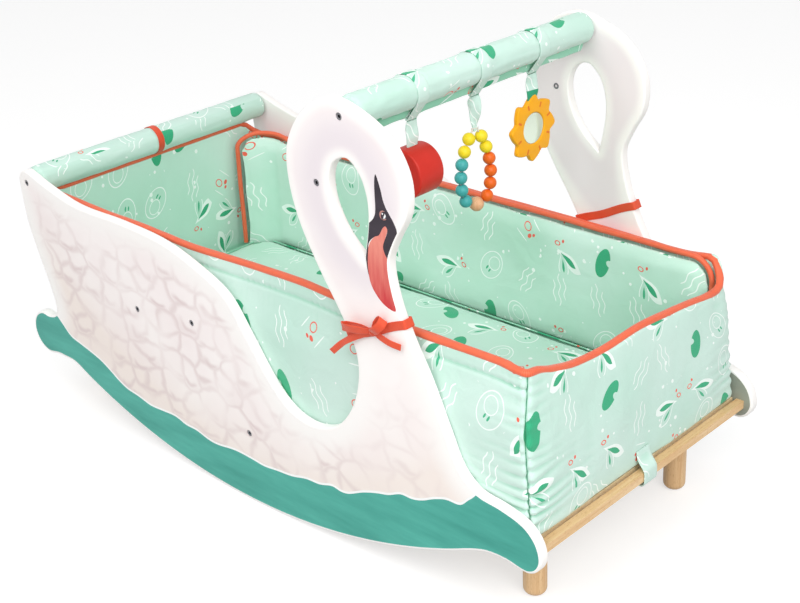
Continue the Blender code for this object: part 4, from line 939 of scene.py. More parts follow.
def rimLift(x, y):
    # what the rim adds to its even height at this place in the plan
    nearShare, farShare = ease(-y, 0.190, 0.225), ease(y, 0.190, 0.225)
    lift = tub["tailRim"] * ease(-x, 0.40, 0.47)
    lift += (alongCurve(rimCurves["nearRim"], x) - lift) * nearShare
    lift += (alongCurve(rimCurves["farRim"], x) - lift) * farShare
    return lift + (alongCurve(rimCurves["footRim"], y) - lift) * ease(x, 0.435, 0.470)


def nearSag(y, rise):
    # the near wall's top leans in over the bumper
    return tub["nearLean"] * ease(rise, 0.60, 1.0) * ease(-y, 0.170, 0.220)


def tubPlan(inset, rise):
    # the tub's outline at one height, counterclockwise from its near foot corner
    halfX = tubHigh.x - tub["lean"] * rise - inset
    halfY = tubHigh.y - inset
    plan = []
    for signX, signY, start in ((1, -1, -90), (1, 1, 0), (-1, 1, 90), (-1, -1, 180)):
        low, top = tub["corners"][(signX, signY)]
        corner = max(low + (top - low) * rise - inset, 0.003)
        centre = (signX * (halfX - corner), signY * (halfY - corner))
        plan += flatArc(centre, corner, start, start + 90, 10)
        nextSign = {(1, -1): (1, 1), (1, 1): (-1, 1), (-1, 1): (-1, -1), (-1, -1): (1, -1)}[(signX, signY)]
        low, top = tub["corners"][nextSign]
        nextCorner = max(low + (top - low) * rise - inset, 0.003)
        here = plan[-1]
        if signX == nextSign[0]:
            there = (signX * halfX, nextSign[1] * (halfY - nextCorner))
            steps = 84
        else:
            there = (nextSign[0] * (halfX - nextCorner), signY * halfY)
            steps = 170
        plan += [(here[0] + (there[0] - here[0]) * k / steps, here[1] + (there[1] - here[1]) * k / steps)
                 for k in range(1, steps)]
    return plan


# points along a corner with its short or its long wall, and where the corner seams fall among them
shortRun, longRun = 11 + 83, 11 + 169
seamAt = [5, 5 + shortRun, 5 + shortRun + longRun, 5 + shortRun + longRun + shortRun]
tubCount = 2 * (shortRun + longRun)


def tubWalls():
    rings, uvs = [], []
    levels = [(0.010, 0.0, 0), (0.004, 0.002, 0), (0.0, 0.007, 1)]
    height = tubHigh.z - tubLow.z
    half = tub["wall"] / 2
    rows = tub["rows"]
    levels += [(0.0, 0.007 + (height - 0.014) * k / rows, 1) for k in range(1, rows + 1)]
    levels += [(half * (1 - math.cos(a)), height - half + half * math.sin(a), 0)
               for a in (math.pi * k / 8 for k in range(9))]
    levels += [(tub["wall"], height - half - (height - half - tub["floor"]) * k / 26, -1) for k in range(1, 27)]
    travelled, last = 0.0, None
    base = tubPlan(0.0, 0.0)
    around = [0.0]
    for a, b in zip(base, base[1:] + base[:1]):
        around.append(around[-1] + math.dist(a, b))
    for inset, up, side in levels:
        rise = up / height
        plan = tubPlan(inset, rise)
        ring = []
        for i, (x, y) in enumerate(plan):
            before, after = plan[i - 1], plan[(i + 1) % tubCount]
            normal = Vector((after[1] - before[1], before[0] - after[0], 0)).normalized()
            gaps = [min(abs(i - s), tubCount - abs(i - s)) * 0.0055 for s in seamAt]
            gap = min(gaps)
            strained = 1.0 if gaps[0] == gap else 0.35
            longSide = abs(normal.y) > 0.8
            z = tubLow.z + up + rimLift(x, y) * rise ** 1.5
            push = 0.0
            if side:
                crown = math.sin(math.pi * min(max(rise, 0), 1)) ** 0.7
                swell = tub["bulge"] if not longSide else 0.0012
                push += swell * crown * min(gap / 0.06, 1) ** 0.5
                push += noise.noise(Vector((x, y, z)) * 13) * (0.0026 if not longSide else 0.0009)
                push += noise.noise(Vector((x, y, z * 0.6)) * 38) * (0.0010 if not longSide else 0.0006)
                push -= tub["seamDepth"] * math.exp(-(gap / 0.005) ** 2)
                low = 0.35 + 0.65 * math.exp(-((z - tubLow.z - 0.055) / 0.045) ** 2)
                wave = math.sin(z * 400 + 4.0 * noise.noise(Vector((x * 12, y * 12, z * 34))) + (3 if longSide else 0))
                fan = math.exp(-gap / (0.016 + 0.026 * low)) * min(gap / 0.004, 1)
                push += tub["pucker"] * low * wave * fan * strained
            if side > 0 and longSide:
                drop = height - up - tub["bandDrop"]
                push -= 0.0022 * math.exp(-(drop / 0.0022) ** 2)
                gathers = math.sin(x * 560 + 3 * noise.noise(Vector((x * 20, y, 1))))
                push += 0.0011 * gathers * math.exp(-abs(drop) / 0.011)
            if side < 0:
                push = -push * 0.6
            if longSide and side > 0:
                push = min(push, 0.0014)
            ring.append(Vector((x, y + nearSag(y, rise), z)) + normal * push)
        middle = ring[20]
        if last is not None:
            travelled += (middle - last).length
        last = middle
        rings.append(ring)
        uvs.append([(d, travelled) for d in around])
    piece = loftRings("tubShell", rings, uvs, caps=True)
    # the faces inside the tub take the inside copy of the cotton, painted light
    useMaterial(piece, finishes["cotton"], finishes["insideLightCotton"])
    insideFrom = (3 + rows + 5) * tubCount
    for face in piece.data.polygons:
        face.material_index = 1 if min(face.vertices) >= insideFrom else 0
    settle(piece, "tubShell", 60)
    return piece, rings


shell, tubRings = tubWalls()
declare(shell, "frame", "tub")

# the coral binding folded over the rim, its height wandering by a hair
rimLevel = tubRings[3 + tub["rows"] + 4]
binding = {"width": 0.0108, "height": 0.0086}
path = [Vector(point) + Vector((0, 0, -0.0030 + 0.0006 * noise.noise(point * 30))) for point in rimLevel[::2]]
halfWide, halfHigh = binding["width"] / 2, binding["height"] / 2
section = [(halfWide * math.copysign(abs(math.cos(a)) ** 0.75, math.cos(a)),
            halfHigh * math.copysign(abs(math.sin(a)) ** 0.75, math.sin(a)))
           for a in (2 * math.pi * k / 20 for k in range(20))]
sides = []
for i, here in enumerate(path):
    ahead = path[(i + 1) % len(path)] - path[i - 1]
    sides.append(Vector((ahead.y, -ahead.x, 0)).normalized())
piece = sweep("rimBinding", path, section, sides, closed=True)
useMaterial(piece, finishes["binding"])
settle(piece, "rimBinding", 60)
declare(piece, "frame")

# overcast stitches down the corner seams
stitch = {"pitch": 0.0048, "length": 0.0034, "radius": 0.0006}
stitches = []
for seam in seamAt:
    column = [tubRings[k][seam] for k in range(3, 3 + tub["rows"])]
    outward = (column[0] - Vector((column[0].x * 0.9, column[0].y * 0.9, column[0].z))).normalized()
    # a dark green cord along each seam, under the stitches: painted shade for the seam's groove
    stitches.append(sweep("seamShadeCord", [spot + outward * 0.0003 for spot in column], roundSection(0.0008, 6),
                          Vector((outward.y, -outward.x, 0))))
    steps = int((column[-1].z - column[0].z) / stitch["pitch"])
    for k in range(steps):
        share = k / steps * (len(column) - 1)
        low = column[int(share)].lerp(column[int(share) + 1], share % 1) + outward * 0.0002
        high = low + (column[int(share) + 1] - column[int(share)]).normalized() * stitch["length"]
        stitches.append(sweep("stitch", [low, (low + high) / 2 + outward * 0.0003, high],
                              roundSection(stitch["radius"], 6), Vector((outward.y, -outward.x, 0))))
threads = joinPieces(stitches)
useMaterial(threads, finishes["thread"])
settle(threads, "cornerStitches", 60)
declare(threads, "frame")
print("tub sewn")


filling = {"cell": 0.0058, "quality": 4, "mass": 0.25, "pressure": 4.0, "stiffness": 0.6, "frames": 20, "inset": 0.0002}


def plump(piece, reach, low, high):
    # blows the pad up as cloth, keeps every point within reach of its start and inside the pad's own box
    selectOnly(piece)
    remesh = piece.modifiers.new("remesh", "REMESH")
    remesh.mode = "VOXEL"
    remesh.voxel_size = filling["cell"]
    bpy.ops.object.modifier_apply(modifier=remesh.name)
    start = [vertex.co.copy() for vertex in piece.data.vertices]
    cloth = piece.modifiers.new("cloth", "CLOTH")
    cloth.settings.quality = filling["quality"]
    cloth.settings.mass = filling["mass"]
    cloth.settings.use_pressure = True
    cloth.settings.uniform_pressure_force = filling["pressure"]
    cloth.settings.effector_weights.gravity = 0
    cloth.settings.bending_stiffness = filling["stiffness"]
    cloth.point_cache.frame_end = filling["frames"]
    for step in range(1, filling["frames"] + 1):
        bpy.context.scene.frame_set(step)
    blown = piece.evaluated_get(bpy.context.evaluated_depsgraph_get())
    spots = [vertex.co.copy() for vertex in blown.data.vertices]
    piece.modifiers.remove(cloth)
    bpy.context.scene.frame_set(1)
    for vertex, old, new in zip(piece.data.vertices, start, spots):
        shift = new - old
        if shift.length > reach:
            shift *= reach / shift.length
        vertex.co = old + shift
    for vertex in piece.data.vertices:
        rumple = noise.noise(vertex.co * 21) * 0.0011 + noise.noise(vertex.co * 55) * 0.0005
        vertex.co += vertex.normal * rumple
        for axis in range(3):
            vertex.co[axis] = min(max(vertex.co[axis], low[axis] + filling["inset"]), high[axis] - filling["inset"])
    smooth = piece.modifiers.new("smooth", "SUBSURF")
    smooth.levels = smooth.render_levels = 1
    bpy.ops.object.modifier_apply(modifier=smooth.name)


def mapCloth(piece):
    # lays the cloth's print flat on the side that each face looks to, in metres
    layer = piece.data.uv_layers.new(name="metres")
    for face in piece.data.polygons:
        facing = max(range(3), key=lambda axis: abs(face.normal[axis]))
        axes = {0: (1, 2), 1: (0, 2), 2: (0, 1)}[facing]
        for corner in face.loop_indices:
            spot = piece.data.vertices[piece.data.loops[corner].vertex_index].co
            layer.data[corner].uv = (spot[axes[0]] + 0.31 * facing, spot[axes[1]])


bumper = {"corner": 0.024, "thin": 0.006, "swell": 0.0042, "piping": 0.0040, "edge": 0.45, "taper": 0.030,
          "sunk": 0.0100, "footCorner": 0.036, "curl": 0.060, "tailLift": 0.013}
tubHeight = tubHigh.z - tubLow.z


def leanIn(spot, sign):
    # the near bumper leans with its wall, and the far one curls round the tub's tail corner
    if sign < 0:
        return spot.y + nearSag(-0.23, (spot.z - tubLow.z) / tubHeight)
    return spot.y - bumper["curl"] * min(max((-spot.x - 0.405) / 0.057, 0), 1.1) ** 2


def liftIn(spot, sign):
    # the far bumper climbs to the tub's rim at the tail
    if sign < 0:
        return spot.z
    return spot.z + bumper["tailLift"] * ease(-spot.x, 0.36, 0.45) * (spot.z - tubLow.z) / tubHeight


for side, sign in (("right", -1), ("left", 1)):
    low, high = boxCorners("bumper_" + side)
    high.z -= bumper["sunk"] if sign > 0 else 0
    footCorner = bumper["footCorner"] if sign > 0 else bumper["corner"]
    shrink = 0.0035
    lowX, highX, lowZ, highZ = low.x + shrink, high.x - shrink, low.z + shrink, high.z - shrink
    corner = bumper["corner"] - shrink
    foot = footCorner - shrink
    loop = [(lowX, lowZ), (highX, lowZ)] + flatArc((highX - foot, highZ - foot), foot, 0, 90, 6)
    loop += flatArc((lowX + corner, highZ - corner), corner, 90, 180, 6)
    pad = flatShape("bumper", [loop], (low.y + high.y) / 2, high.y - low.y - 2 * bumper["thin"], 0.003)
    plump(pad, bumper["swell"], low, high)
    mapCloth(pad)
    wallSide = low.y if sign < 0 else high.y
    for vertex in pad.data.vertices:
        # the wadding thins towards the bound edges, which lie against the tub's wall
        spot = vertex.co
        toEdge = min(high.z - spot.z, high.x - spot.x, spot.x - low.x) / bumper["taper"]
        share = min(max(toEdge, 0), 1)
        full = bumper["edge"] + (1 - bumper["edge"]) * math.sin(share * math.pi / 2)
        spot.y = wallSide + (spot.y - wallSide) * full
        spot.y, spot.z = leanIn(spot, sign), liftIn(spot, sign)
    # the inside copy of the cotton, painted light
    useMaterial(pad, finishes["insideLightCotton"])
    settle(pad, "sideBumper" + side.title(), 70)
    declare(pad, "frame", "bumper_" + side)
    # coral piping sewn round the top and both ends, on the edge that faces in
    pipe = bumper["piping"]
    inward = wallSide - sign * 0.0045
    lowX, highX, highZ, lowZ = low.x + pipe * 0.6, high.x - pipe * 0.6, high.z - pipe * 0.6, low.z + 0.016
    corner = bumper["corner"] - pipe * 0.6
    foot = footCorner - pipe * 0.6
    route = [(highX, lowZ + (highZ - foot - lowZ) * k / 16) for k in range(16)]
    route += flatArc((highX - foot, highZ - foot), foot, 0, 90, 10)
    route += [(highX - foot - (highX - lowX - foot - corner) * k / 90, highZ) for k in range(1, 90)]
    route += flatArc((lowX + corner, highZ - corner), corner, 90, 180, 10)
    route += [(lowX, highZ - corner - (highZ - corner - lowZ) * k / 16) for k in range(1, 17)]
    path = [Vector((x, inward + 0.0010 * noise.noise(Vector((x, 0, z)) * 14),
                    z + 0.0008 * noise.noise(Vector((x, 3, z)) * 9))) for x, z in route]
    for spot in path:
        spot.y, spot.z = leanIn(spot, sign), liftIn(spot, sign)
    piping = sweep("piping", path, roundSection(pipe, 12), (0, 1, 0))
    useMaterial(piping, finishes["binding"])
    settle(piping, "bumperPiping" + side.title(), 60)
    declare(piping, "frame")

low, high = boxCorners("mattress")
corner, shrink = 0.028, 0.004
loop = []
for signX, signY, start in ((1, -1, -90), (1, 1, 0), (-1, 1, 90), (-1, -1, 180)):
    centre = (signX * (high.x - shrink - corner), signY * (high.y - shrink - corner))
    loop += flatArc(centre, corner, start, start + 90, 6)
pad = flatShape("mattressPad", [loop], 0, high.z - low.z - 0.010, 0.004)
pad.data.transform(Matrix.Rotation(math.radians(-90), 4, "X"))
pad.data.transform(Matrix.Translation((0, 0, (low.z + high.z) / 2)))
plump(pad, 0.005, low, high)
mapCloth(pad)
# the inside copy of the cotton, painted light
useMaterial(pad, finishes["insideLightCotton"])
settle(pad, "mattressPad", 70)
declare(pad, "mattress", "mattress")
rim = [Vector((x * (high.x - 0.0018) / (high.x - shrink), y * (high.y - 0.0018) / (high.y - shrink),
               (low.z + high.z) / 2 + 0.003)) for x, y in smoothOutline(loop, finest=9)]
seam = sweep("mattressSeam", rim, roundSection(0.0014, 8), (0, 0, 1), closed=True)
# the seam takes the deeper green, painted shade in the gap at the mattress's edge
useMaterial(seam, finishes["paintedShadeCotton"])
settle(seam, "mattressSeam", 60)
declare(seam, "mattress")
print("pads filled")


sleeve = {"radius": 0.0218, "flange": 0.0112, "flangeWidth": 0.0026, "endRound": 0.006}
strapWidth, strapThick = 0.0205, 0.0014
toyPlaces = {toy: (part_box(node)[0][1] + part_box(node)[1][1]) / 2
             for toy, node in (("drum", "strap_drum"), ("beads", "strap_loop_beads"), ("sun", "strap_sun"))}


def barSleeve(node, name, centre, turn, tied):
    # a teardrop section swept along the bar, pinched where something is tied round it
    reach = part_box(node)[1][1]
    angles = [math.pi * (2 * k / 64) ** 1.7 / 2 ** 1.7 for k in range(65)]
    angles = [-a for a in reversed(angles[1:-1])] + angles[:-1]
    angles = [a for a in angles if abs(a) < math.pi - 0.02] + [math.pi]
    rings, uvs = [], []
    rows = 150
    for row in range(rows + 1):
        y = -reach + 2 * reach * row / rows
        fromEnd = reach - abs(y)
        rounding = sleeve["endRound"] * (1 - math.sqrt(max(1 - (1 - min(fromEnd / sleeve["endRound"], 1)) ** 2, 0)))
        pinch = sum(0.0009 * math.exp(-((y - place) / width) ** 4) for place, width in tied)
        ruck = sum(0.0006 * math.exp(-((abs(y - place) - width * 1.35) / 0.006) ** 2) for place, width in tied)
        ring, around, last = [], [0.0], None
        for a in angles:
            arcLength = abs(a) * sleeve["radius"]
            fold = math.exp(-(arcLength / sleeve["flangeWidth"]) ** 2)
            crease = math.exp(-((arcLength - 0.0062) / 0.0022) ** 2)
            spot = Vector((math.cos(a) * 1.3, y * 6, math.sin(a) * 1.3))
            radius = sleeve["radius"] - rounding - pinch + ruck - 0.0010 * crease
            radius += 0.0007 * noise.noise(spot * 2.2) + 0.0005 * noise.noise(Vector((a * 2, y * 60, 2)))
            radius += (sleeve["flange"] + 0.0006 * noise.noise(Vector((0, y * 25, 7)))) * fold * min(fromEnd / 0.004, 1)
            down = a + turn
            here = Vector((centre.x + radius * math.sin(down), y, centre.z - radius * math.cos(down)))
            if last is not None:
                around.append(around[-1] + (here - last).length)
            ring.append(here)
            last = here
        around.append(around[-1] + (ring[0] - last).length)
        rings.append(ring)
        uvs.append([(y, d) for d in around])
    for end, at in ((0, -reach), (-1, reach)):
        # the end is gathered in towards the bar
        for share in (0.75, 0.62):
            inner = [Vector((centre.x + (p.x - centre.x) * share, at, centre.z + (p.z - centre.z) * share))
                     for p in rings[end]]
            if end == 0:
                rings.insert(0, inner)
                uvs.insert(0, [(u - 0.004, v) for u, v in uvs[0]])
            else:
                rings.append(inner)
                uvs.append([(u + 0.004, v) for u, v in uvs[-1]])
    piece = loftRings(name, rings, uvs, caps=True)
    # the faces round the flange, under the sleeve, take the deeper green: painted shade
    useMaterial(piece, finishes["cotton"], finishes["paintedShadeCotton"])
    turnedIn = [k for k, a in enumerate(angles) if abs(a) * sleeve["radius"] < 0.0085]
    for face in piece.data.polygons:
        steps = [vertex % len(angles) for vertex in face.vertices]
        face.material_index = 1 if len(steps) == 4 and min(steps) >= turnedIn[0] and max(steps) <= turnedIn[-1] else 0
    settle(piece, name, 55)
    declare(piece, "frame", node)


flangeTurn = {"top": 0.0, "tail": math.radians(-50)}
barSleeve("top_bar_cover", "topBarSleeve", topBar, flangeTurn["top"], [(y, 0.010) for y in toyPlaces.values()])
barSleeve("tail_bar_cover", "tailBarSleeve", tailBar, flangeTurn["tail"], [(0.0, 0.006)])


def loopPath(centre, radius, tip, turn):
    # round the sleeve from the tip of its flange and back to the tip
    steps = 40
    lean = math.acos(radius / tip)
    points = [(0.0006, -tip)]
    for k in range(steps + 1):
        a = lean + (2 * math.pi - 2 * lean) * k / steps
        points.append((radius * math.sin(a), -radius * math.cos(a)))
    points.append((-0.0006, -tip))
    c, s = math.cos(turn), math.sin(turn)
    return [Vector((centre.x + x * c - z * s, centre.y, centre.z + x * s + z * c)) for x, z in points]


loopStrap = {"tip": 0.0372, "narrow": 0.90, "fold": 0.0393}
for toy, y in toyPlaces.items():
    centre = Vector((topBar.x, y, topBar.z))
    path = loopPath(centre, sleeve["radius"] + 0.0013, loopStrap["tip"], 0.0)
    widths = []
    for point in path:
        drop = (centre.z - point.z) / loopStrap["tip"]
        widths.append(1 - (1 - loopStrap["narrow"]) * max(drop - 0.45, 0) / 0.55)
    strap = sweep("strap", path, flatSection(strapWidth, strapThick), (0, 1, 0), widths=widths)
    # a short tail hangs behind the loop's closing seam
    tailPath = smoothPath([(centre.x - 0.0012, y + 0.003, centre.z - 0.0350),
                           (centre.x - 0.0035, y + 0.004, centre.z - 0.043),
                           (centre.x - 0.0060, y + 0.0055, centre.z - 0.054)], 5)
    tail = sweep("strapTail", tailPath, flatSection(strapWidth * 0.7, strapThick), (0.25, 1, 0))
    useMaterial(strap, finishes["cotton"])
    useMaterial(tail, finishes["tabCotton"])
    strap = joinPieces([strap, tail])
    settle(strap, toy + "StrapLoop", 50)
    declare(strap, "frame", "strap_loop_" + toy)

ribbonWidth, ribbonThick = 0.012, 0.0010
path = loopPath(Vector((tailBar.x, 0, tailBar.z)), sleeve["radius"] + 0.0010, 0.0362, flangeTurn["tail"])
tie = sweep("tie", path, flatSection(ribbonWidth, ribbonThick), (0, 1, 0))
tipAt = path[0]
outward = Vector((math.sin(flangeTurn["tail"]), 0, -math.cos(flangeTurn["tail"])))
ends = [tie]
for lean, reach in ((0.35, 0.020), (-0.30, 0.015)):
    aside = Vector((outward.z, 0, -outward.x)) * lean
    tail = smoothPath([tipAt - outward * 0.001, tipAt + (outward + aside * 0.4) * reach * 0.5,
                       tipAt + (outward + aside * 1.2) * reach], 5)
    ends.append(sweep("tieEnd", tail, flatSection(ribbonWidth * 0.95, ribbonThick), (0.1, 1, 0.1)))
tie = joinPieces(ends)
useMaterial(tie, finishes["ribbon"])
settle(tie, "tailBarTie", 50)
declare(tie, "frame", "tail_bar_tie")

tab = {"width": 0.029, "thick": 0.0015, "hang": 0.0085}
half = tab["thick"] / 2
railHalf = 0.006
front, back = footRail.x + railHalf + 0.0006 + half, footRail.x - railHalf - 0.0004 - half
wall = tubHigh.x + 0.0040
low = footRail.z - railHalf - tab["hang"]
bend = (front - back) / 2
path = [(wall - 0.002, tubLow.z + 0.028), (wall + 0.001, tubLow.z + 0.016), (front - 0.0015, tubLow.z + 0.004),
        (front, footRail.z + 0.004)]
path += flatArc((footRail.x, low + bend), bend, 0, -180, 8) + [(back, footRail.z)]
path = smoothPath([(x, 0, z) for x, z in path], 3)
piece = sweep("railTab", path, flatSection(tab["width"], tab["thick"]), (0, 1, 0))
useMaterial(piece, finishes["cotton"])
settle(piece, "railTab", 50)
declare(piece, "frame", "rail_tab")
print("sleeves, straps and tab sewn")


bow = {"knot": (0.0052, 0.0044, 0.0064), "rise": 0.004, "slant": 0.45, "turn": 0.0024}
bowZ = tubHigh.z + bow["rise"]


def neckAt(height, slant=0.0, pivot=0.0):
    # where the neck's two edges stand at this height, along a line that climbs forwards
    edges = []
    level = [(point.x, point.y - slant * (point.x - pivot)) for point in outline]
    for (x0, z0), (x1, z1) in zip(level, level[1:] + level[:1]):
        if (z0 - height) * (z1 - height) <= 0 and z0 != z1:
            x = x0 + (x1 - x0) * (height - z0) / (z1 - z0)
            if x > swan["scoop"][0]:
                edges.append(x)
    return min(edges), max(edges)


knotX = sum(neckAt(bowZ)) / 2
levels = [neckAt(bowZ + shift, bow["slant"], knotX) for shift in (-ribbonWidth / 2, 0.0, ribbonWidth / 2)]
start, end = min(low for low, high in levels), max(high for low, high in levels)
near, far = panelLow.y - 0.0008, panelHigh.y + 0.0008
start, end = start - 0.0016, end + 0.0016
knotAt = Vector((knotX, near - 0.0036, bowZ))
corners = [(start, far), (start, near), (end, near), (end, far)]
band = []
for k, (x, y) in enumerate(corners):
    inX, inY = (1 if x < knotAt.x else -1), (1 if y == near else -1)
    turn = bow["turn"]
    first = {0: 90, 1: 180, 2: 270, 3: 0}[k]
    band += flatArc((x + inX * turn, y + inY * turn), turn, first, first + 90, 4)
    after = corners[(k + 1) % 4]
    last = band[-1]
    there = (after[0] + (0 if after[0] == x else (turn if after[0] < x else -turn)),
             after[1] + (0 if after[1] == y else (turn if after[1] < y else -turn)))
    steps = 12 if abs(after[0] - x) > 0.02 else 3
    band += [(last[0] + (there[0] - last[0]) * j / steps, last[1] + (there[1] - last[1]) * j / steps)
             for j in range(1, steps)]
climb = [Vector((x, y, bowZ + bow["slant"] * (x - knotX) + 0.0010 * math.sin(x * 90))) for x, y in band]
upNeck = Vector((-bow["slant"], 0, 1)).normalized()
parts = [sweep("band", climb, flatSection(ribbonWidth, ribbonThick), upNeck, closed=True)]
loops = {
    "long": ([(0.000, 0.0000, 0.000), (-0.010, -0.0070, 0.0010), (-0.026, -0.0118, 0.0005), (-0.040, -0.0108, -0.0015),
              (-0.0470, -0.0068, -0.0030), (-0.0435, -0.0020, -0.0025), (-0.028, -0.0004, -0.0010),
              (-0.012, 0.0000, 0.0000), (0.000, 0.0000, 0.000)], (0.12, -0.28, 0.95)),
    "short": ([(0.000, 0.0000, 0.000), (0.0060, -0.0075, 0.0040), (0.0155, -0.0112, 0.0110), (0.0222, -0.0078, 0.0190),
               (0.0215, -0.0028, 0.0240), (0.0150, -0.0008, 0.0215), (0.0065, -0.0004, 0.0100), (0.000, 0.0000, 0.000)],
              (-0.53, -0.50, 0.68)),
}
for points, across in loops.values():
    path = smoothPath([knotAt + Vector(point) for point in points], 7)
    widths = [0.50 + 0.50 * min((point - knotAt).length / 0.016, 1) for point in path]
    parts.append(sweep("bowLoop", path, flatSection(ribbonWidth * 1.05, ribbonThick), across, widths=widths))
tails = {
    "long": ([(0.000, 0.0010, -0.001), (-0.018, -0.0012, -0.009), (-0.038, -0.0030, -0.020),
              (-0.057, -0.0012, -0.034), (-0.074, -0.0022, -0.050)], (0.6, 0.0, 0.8)),
    "short": ([(0.000, 0.0010, -0.001), (0.014, -0.0012, -0.003), (0.031, -0.0025, -0.0055),
               (0.047, -0.0004, -0.0075)], (0.25, 0.1, 1.0)),
}
for points, across in tails.values():
    path = smoothPath([knotAt + Vector(point) for point in points], 7)
    widths = [0.6 + 0.4 * min((point - knotAt).length / 0.014, 1) for point in path]
    parts.append(sweep("bowTail", path, flatSection(ribbonWidth * 0.74, ribbonThick), across, widths=widths))
knot = addMesh(bpy.ops.mesh.primitive_uv_sphere_add, segments=28, ring_count=18, radius=1.0, location=knotAt)
for vertex in knot.data.vertices:
    groove = 1 - 0.10 * math.cos(vertex.co.x * 7) ** 2 + 0.05 * noise.noise(vertex.co * 2.0)
    vertex.co = Vector(vertex.co) * groove
knot.scale = bow["knot"]
bpy.ops.object.transform_apply(location=True, rotation=True, scale=True)
knot.data.uv_layers[0].name = "metres"
for corner in knot.data.uv_layers[0].data:
    corner.uv = (corner.uv[0] * 0.03, corner.uv[1] * 0.02)
parts.append(knot)
bowPiece = joinPieces(parts)
useMaterial(bowPiece, finishes["ribbon"])
settle(bowPiece, "neckBowRight", 55)
other = copyOf(bowPiece, "neckBowLeft", mirrored=True)
for piece, side in ((bowPiece, "right"), (other, "left")):
    declare(piece, "frame", "neck_bow_" + side)
print("bows tied")


def cutSlot(piece, centre, radius, size):
    # the slot in the toy's top that the strap's end goes into
    cutter = addMesh(bpy.ops.mesh.primitive_cube_add, size=1, location=(centre.x, centre.y, centre.z + radius))
    cutter.scale = size
    bpy.ops.object.transform_apply(location=True, rotation=True, scale=True)
    cut(piece, cutter)


# the drum rattle: a turned block with rounded rims
drum = {"radius": 0.033, "length": 0.045, "edge": 0.0030, "slot": (0.0036, 0.0200, 0.0170)}
centre = nodeMiddle("drum_rattle")
piece = addMesh(bpy.ops.mesh.primitive_cylinder_add, vertices=96, radius=drum["radius"], depth=drum["length"],
                location=centre, rotation=facingOut)
addBevel(piece, drum["edge"], 5, 60)
settle(piece, "drumRattle", 40)
cutSlot(piece, centre, drum["radius"], drum["slot"])
useMaterial(piece, finishes["red"])
settle(piece, "drumRattle", 40)
declare(piece, "drum_toy", "drum_rattle")

# the sun ring, with its pinwheel rim, painted dashes and round mirror
sun = {"radius": 0.043, "lobe": 0.0045, "lobes": 8, "thick": 0.0075, "edge": 0.0018, "mirror": 0.0220,
       "dashAt": 0.0338, "dashLong": 0.0080, "dashWide": 0.0032, "slot": (0.0036, 0.0200, 0.0175)}
centre = nodeMiddle("mirror")
rim = []
for k in range(256):
    angle = 2 * math.pi * k / 256
    wave = math.cos(sun["lobes"] * angle + 0.5 * math.cos(sun["lobes"] * angle))
    reach = sun["radius"] + sun["lobe"] * wave
    rim.append((reach * math.cos(angle), reach * math.sin(angle)))
ring = flatShape("sunRing", [rim, flatArc((0, 0), sun["mirror"] + 0.0003, 0, 356.25, 95)], 0, sun["thick"], sun["edge"])
useMaterial(ring, finishes["sun"])
dashes = [ring]
for k in range(sun["lobes"]):
    angle = 2 * math.pi * (k + 0.46) / sun["lobes"]
    half, wide = sun["dashLong"] / 2 - sun["dashWide"] / 2, sun["dashWide"] / 2
    capsule = [(x + half, z) for x, z in flatArc((0, 0), wide, -90, 90, 6)]
    capsule += [(x - half, z) for x, z in flatArc((0, 0), wide, 90, 270, 6)]
    c, s = math.cos(angle), math.sin(angle)
    capsule = [((x + sun["dashAt"]) * c - z * s, (x + sun["dashAt"]) * s + z * c) for x, z in capsule]
    for face in (-1, 1):
        dash = flatShape("dash", [capsule], face * sun["thick"] / 2, 0.00016)
        useMaterial(dash, finishes["dash"])
        dashes.append(dash)
ring = joinPieces(dashes)
ring.data.transform(Matrix.Rotation(math.radians(90), 4, "Z"))
ring.data.transform(Matrix.Translation(centre))
cutSlot(ring, centre, sun["radius"], sun["slot"])
settle(ring, "sunRing", 40)
declare(ring, "sun_toy", "sun_ring")
glass = addMesh(bpy.ops.mesh.primitive_cylinder_add, vertices=96, radius=sun["mirror"], depth=sun["thick"] - 0.0024,
                location=centre, rotation=(0, math.radians(90), 0))
addBevel(glass, 0.0007, 3, 60)
useMaterial(glass, finishes["foil"])
settle(glass, "sunMirror", 40)
declare(glass, "sun_toy", "mirror")

# one bored bead, copied along the loop
bead = {"radius": 0.00875, "woodRadius": 0.0100, "bore": 0.0017, "lead": 0.0006, "hook": 0.083}
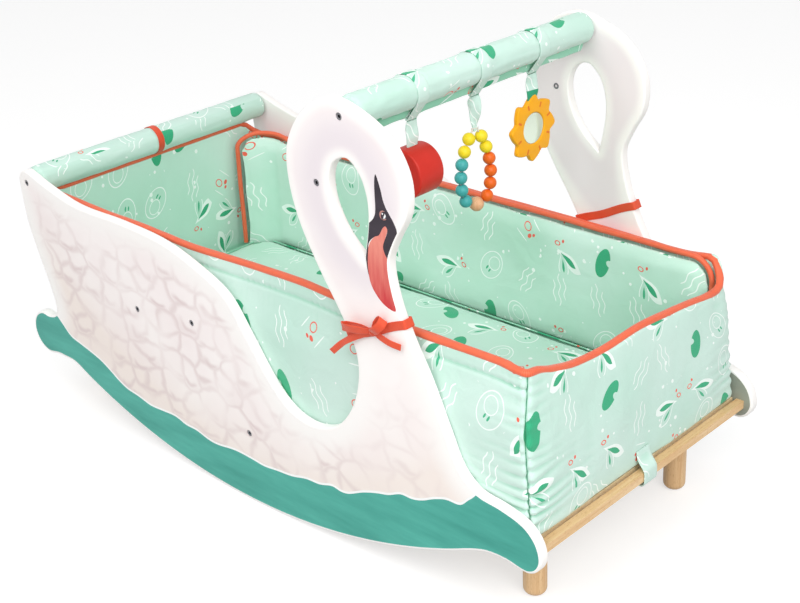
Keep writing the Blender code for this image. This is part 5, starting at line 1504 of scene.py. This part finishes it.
# each lacquer with its slot and the beads that have it
lacquers = {"yellowBead": ("yellow_bead", (0, 1, 11, 12)), "orangeBead": ("orange_bead", (2, 3, 4, 5)),
            "woodBead": ("wood_bead", (6,)), "tealBead": ("teal_bead", (7, 8, 9, 10))}
model = addMesh(bpy.ops.mesh.primitive_uv_sphere_add, segments=40, ring_count=28, radius=bead["radius"])
cut(model, addMesh(bpy.ops.mesh.primitive_cylinder_add, vertices=20, radius=bead["bore"], depth=bead["radius"] * 3))
addBevel(model, bead["lead"], 2, 50)
settle(model, "bead", 40)
names = [f"bead_{k:02d}" for k in range(1, 14)]
middles = [nodeMiddle(name) for name in names]
hook = Vector((topBar.x, toyPlaces["beads"], topBar.z - bead["hook"]))
for k, (name, here) in enumerate(zip(names, middles)):
    before = middles[k - 1] if k else hook
    after = middles[k + 1] if k < 12 else hook
    finish = next(kind for kind, (slot, places) in lacquers.items() if k in places)
    made = copyOf(model, name.replace("bead_", "bead-"))
    made.data.transform(Matrix.Scale(bead["woodRadius"] / bead["radius"] if finish == "woodBead" else 1.0, 4))
    made.data.transform((after - before).to_track_quat("Z", "Y").to_matrix().to_4x4())
    made.data.transform(Matrix.Translation(here))
    useMaterial(made, finishes[finish])
    declare(made, "bead_loop", name)
bpy.data.objects.remove(model, do_unlink=True)

# the straps' hanging ends, each creased and a little twisted
foldZ = topBar.z - loopStrap["fold"]
ends = {
    "drum": {"to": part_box("strap_drum")[0][2], "twist": 0.10, "narrow": 1.0, "end": 0.92, "body": "drum_toy"},
    "beads": {"to": hook.z - 0.0042, "twist": 1.05, "narrow": 0.86, "end": 0.20, "body": "bead_strap"},
    "sun": {"to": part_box("strap_sun")[0][2], "twist": 0.30, "narrow": 0.95, "end": 0.92, "body": "sun_toy"},
}
for toy, plan in ends.items():
    y = toyPlaces[toy]
    steps = 26
    path, sides, widths = [], [], []
    for k in range(steps + 1):
        share = k / steps
        wave = 0.0011 * math.sin(share * 7.5 + len(toy)) * math.sin(math.pi * share)
        path.append(Vector((topBar.x + wave, y, foldZ + (plan["to"] - foldZ) * share)))
        angle = plan["twist"] * math.sin(math.pi * min(share * 1.25, 1)) + (0.26 if toy == "beads" else 0) * share
        sides.append(Vector((math.sin(angle), math.cos(angle), 0)))
        narrow = 0.92 + (plan["narrow"] - 0.92) * min(share * 3, 1)
        widths.append(narrow + (plan["end"] - narrow) * max((share - 0.35) / 0.65, 0) ** 1.2)
    strap = sweep("strapEnd", path, flatSection(strapWidth, strapThick * 1.6), sides, widths=widths)
    useMaterial(strap, finishes["cotton"])
    if toy == "sun":
        # a plain green tab joins the strap to the ring
        tab = sweep("strapTab", path[-13:], flatSection(strapWidth * 1.02, strapThick * 2.2), sides[-13:],
                    widths=widths[-13:])
        useMaterial(tab, finishes["tabCotton"])
        strap = joinPieces([strap, tab])
    settle(strap, toy + "StrapEnd", 50)
    declare(strap, plan["body"], "strap_" + toy)
print("toys hung")
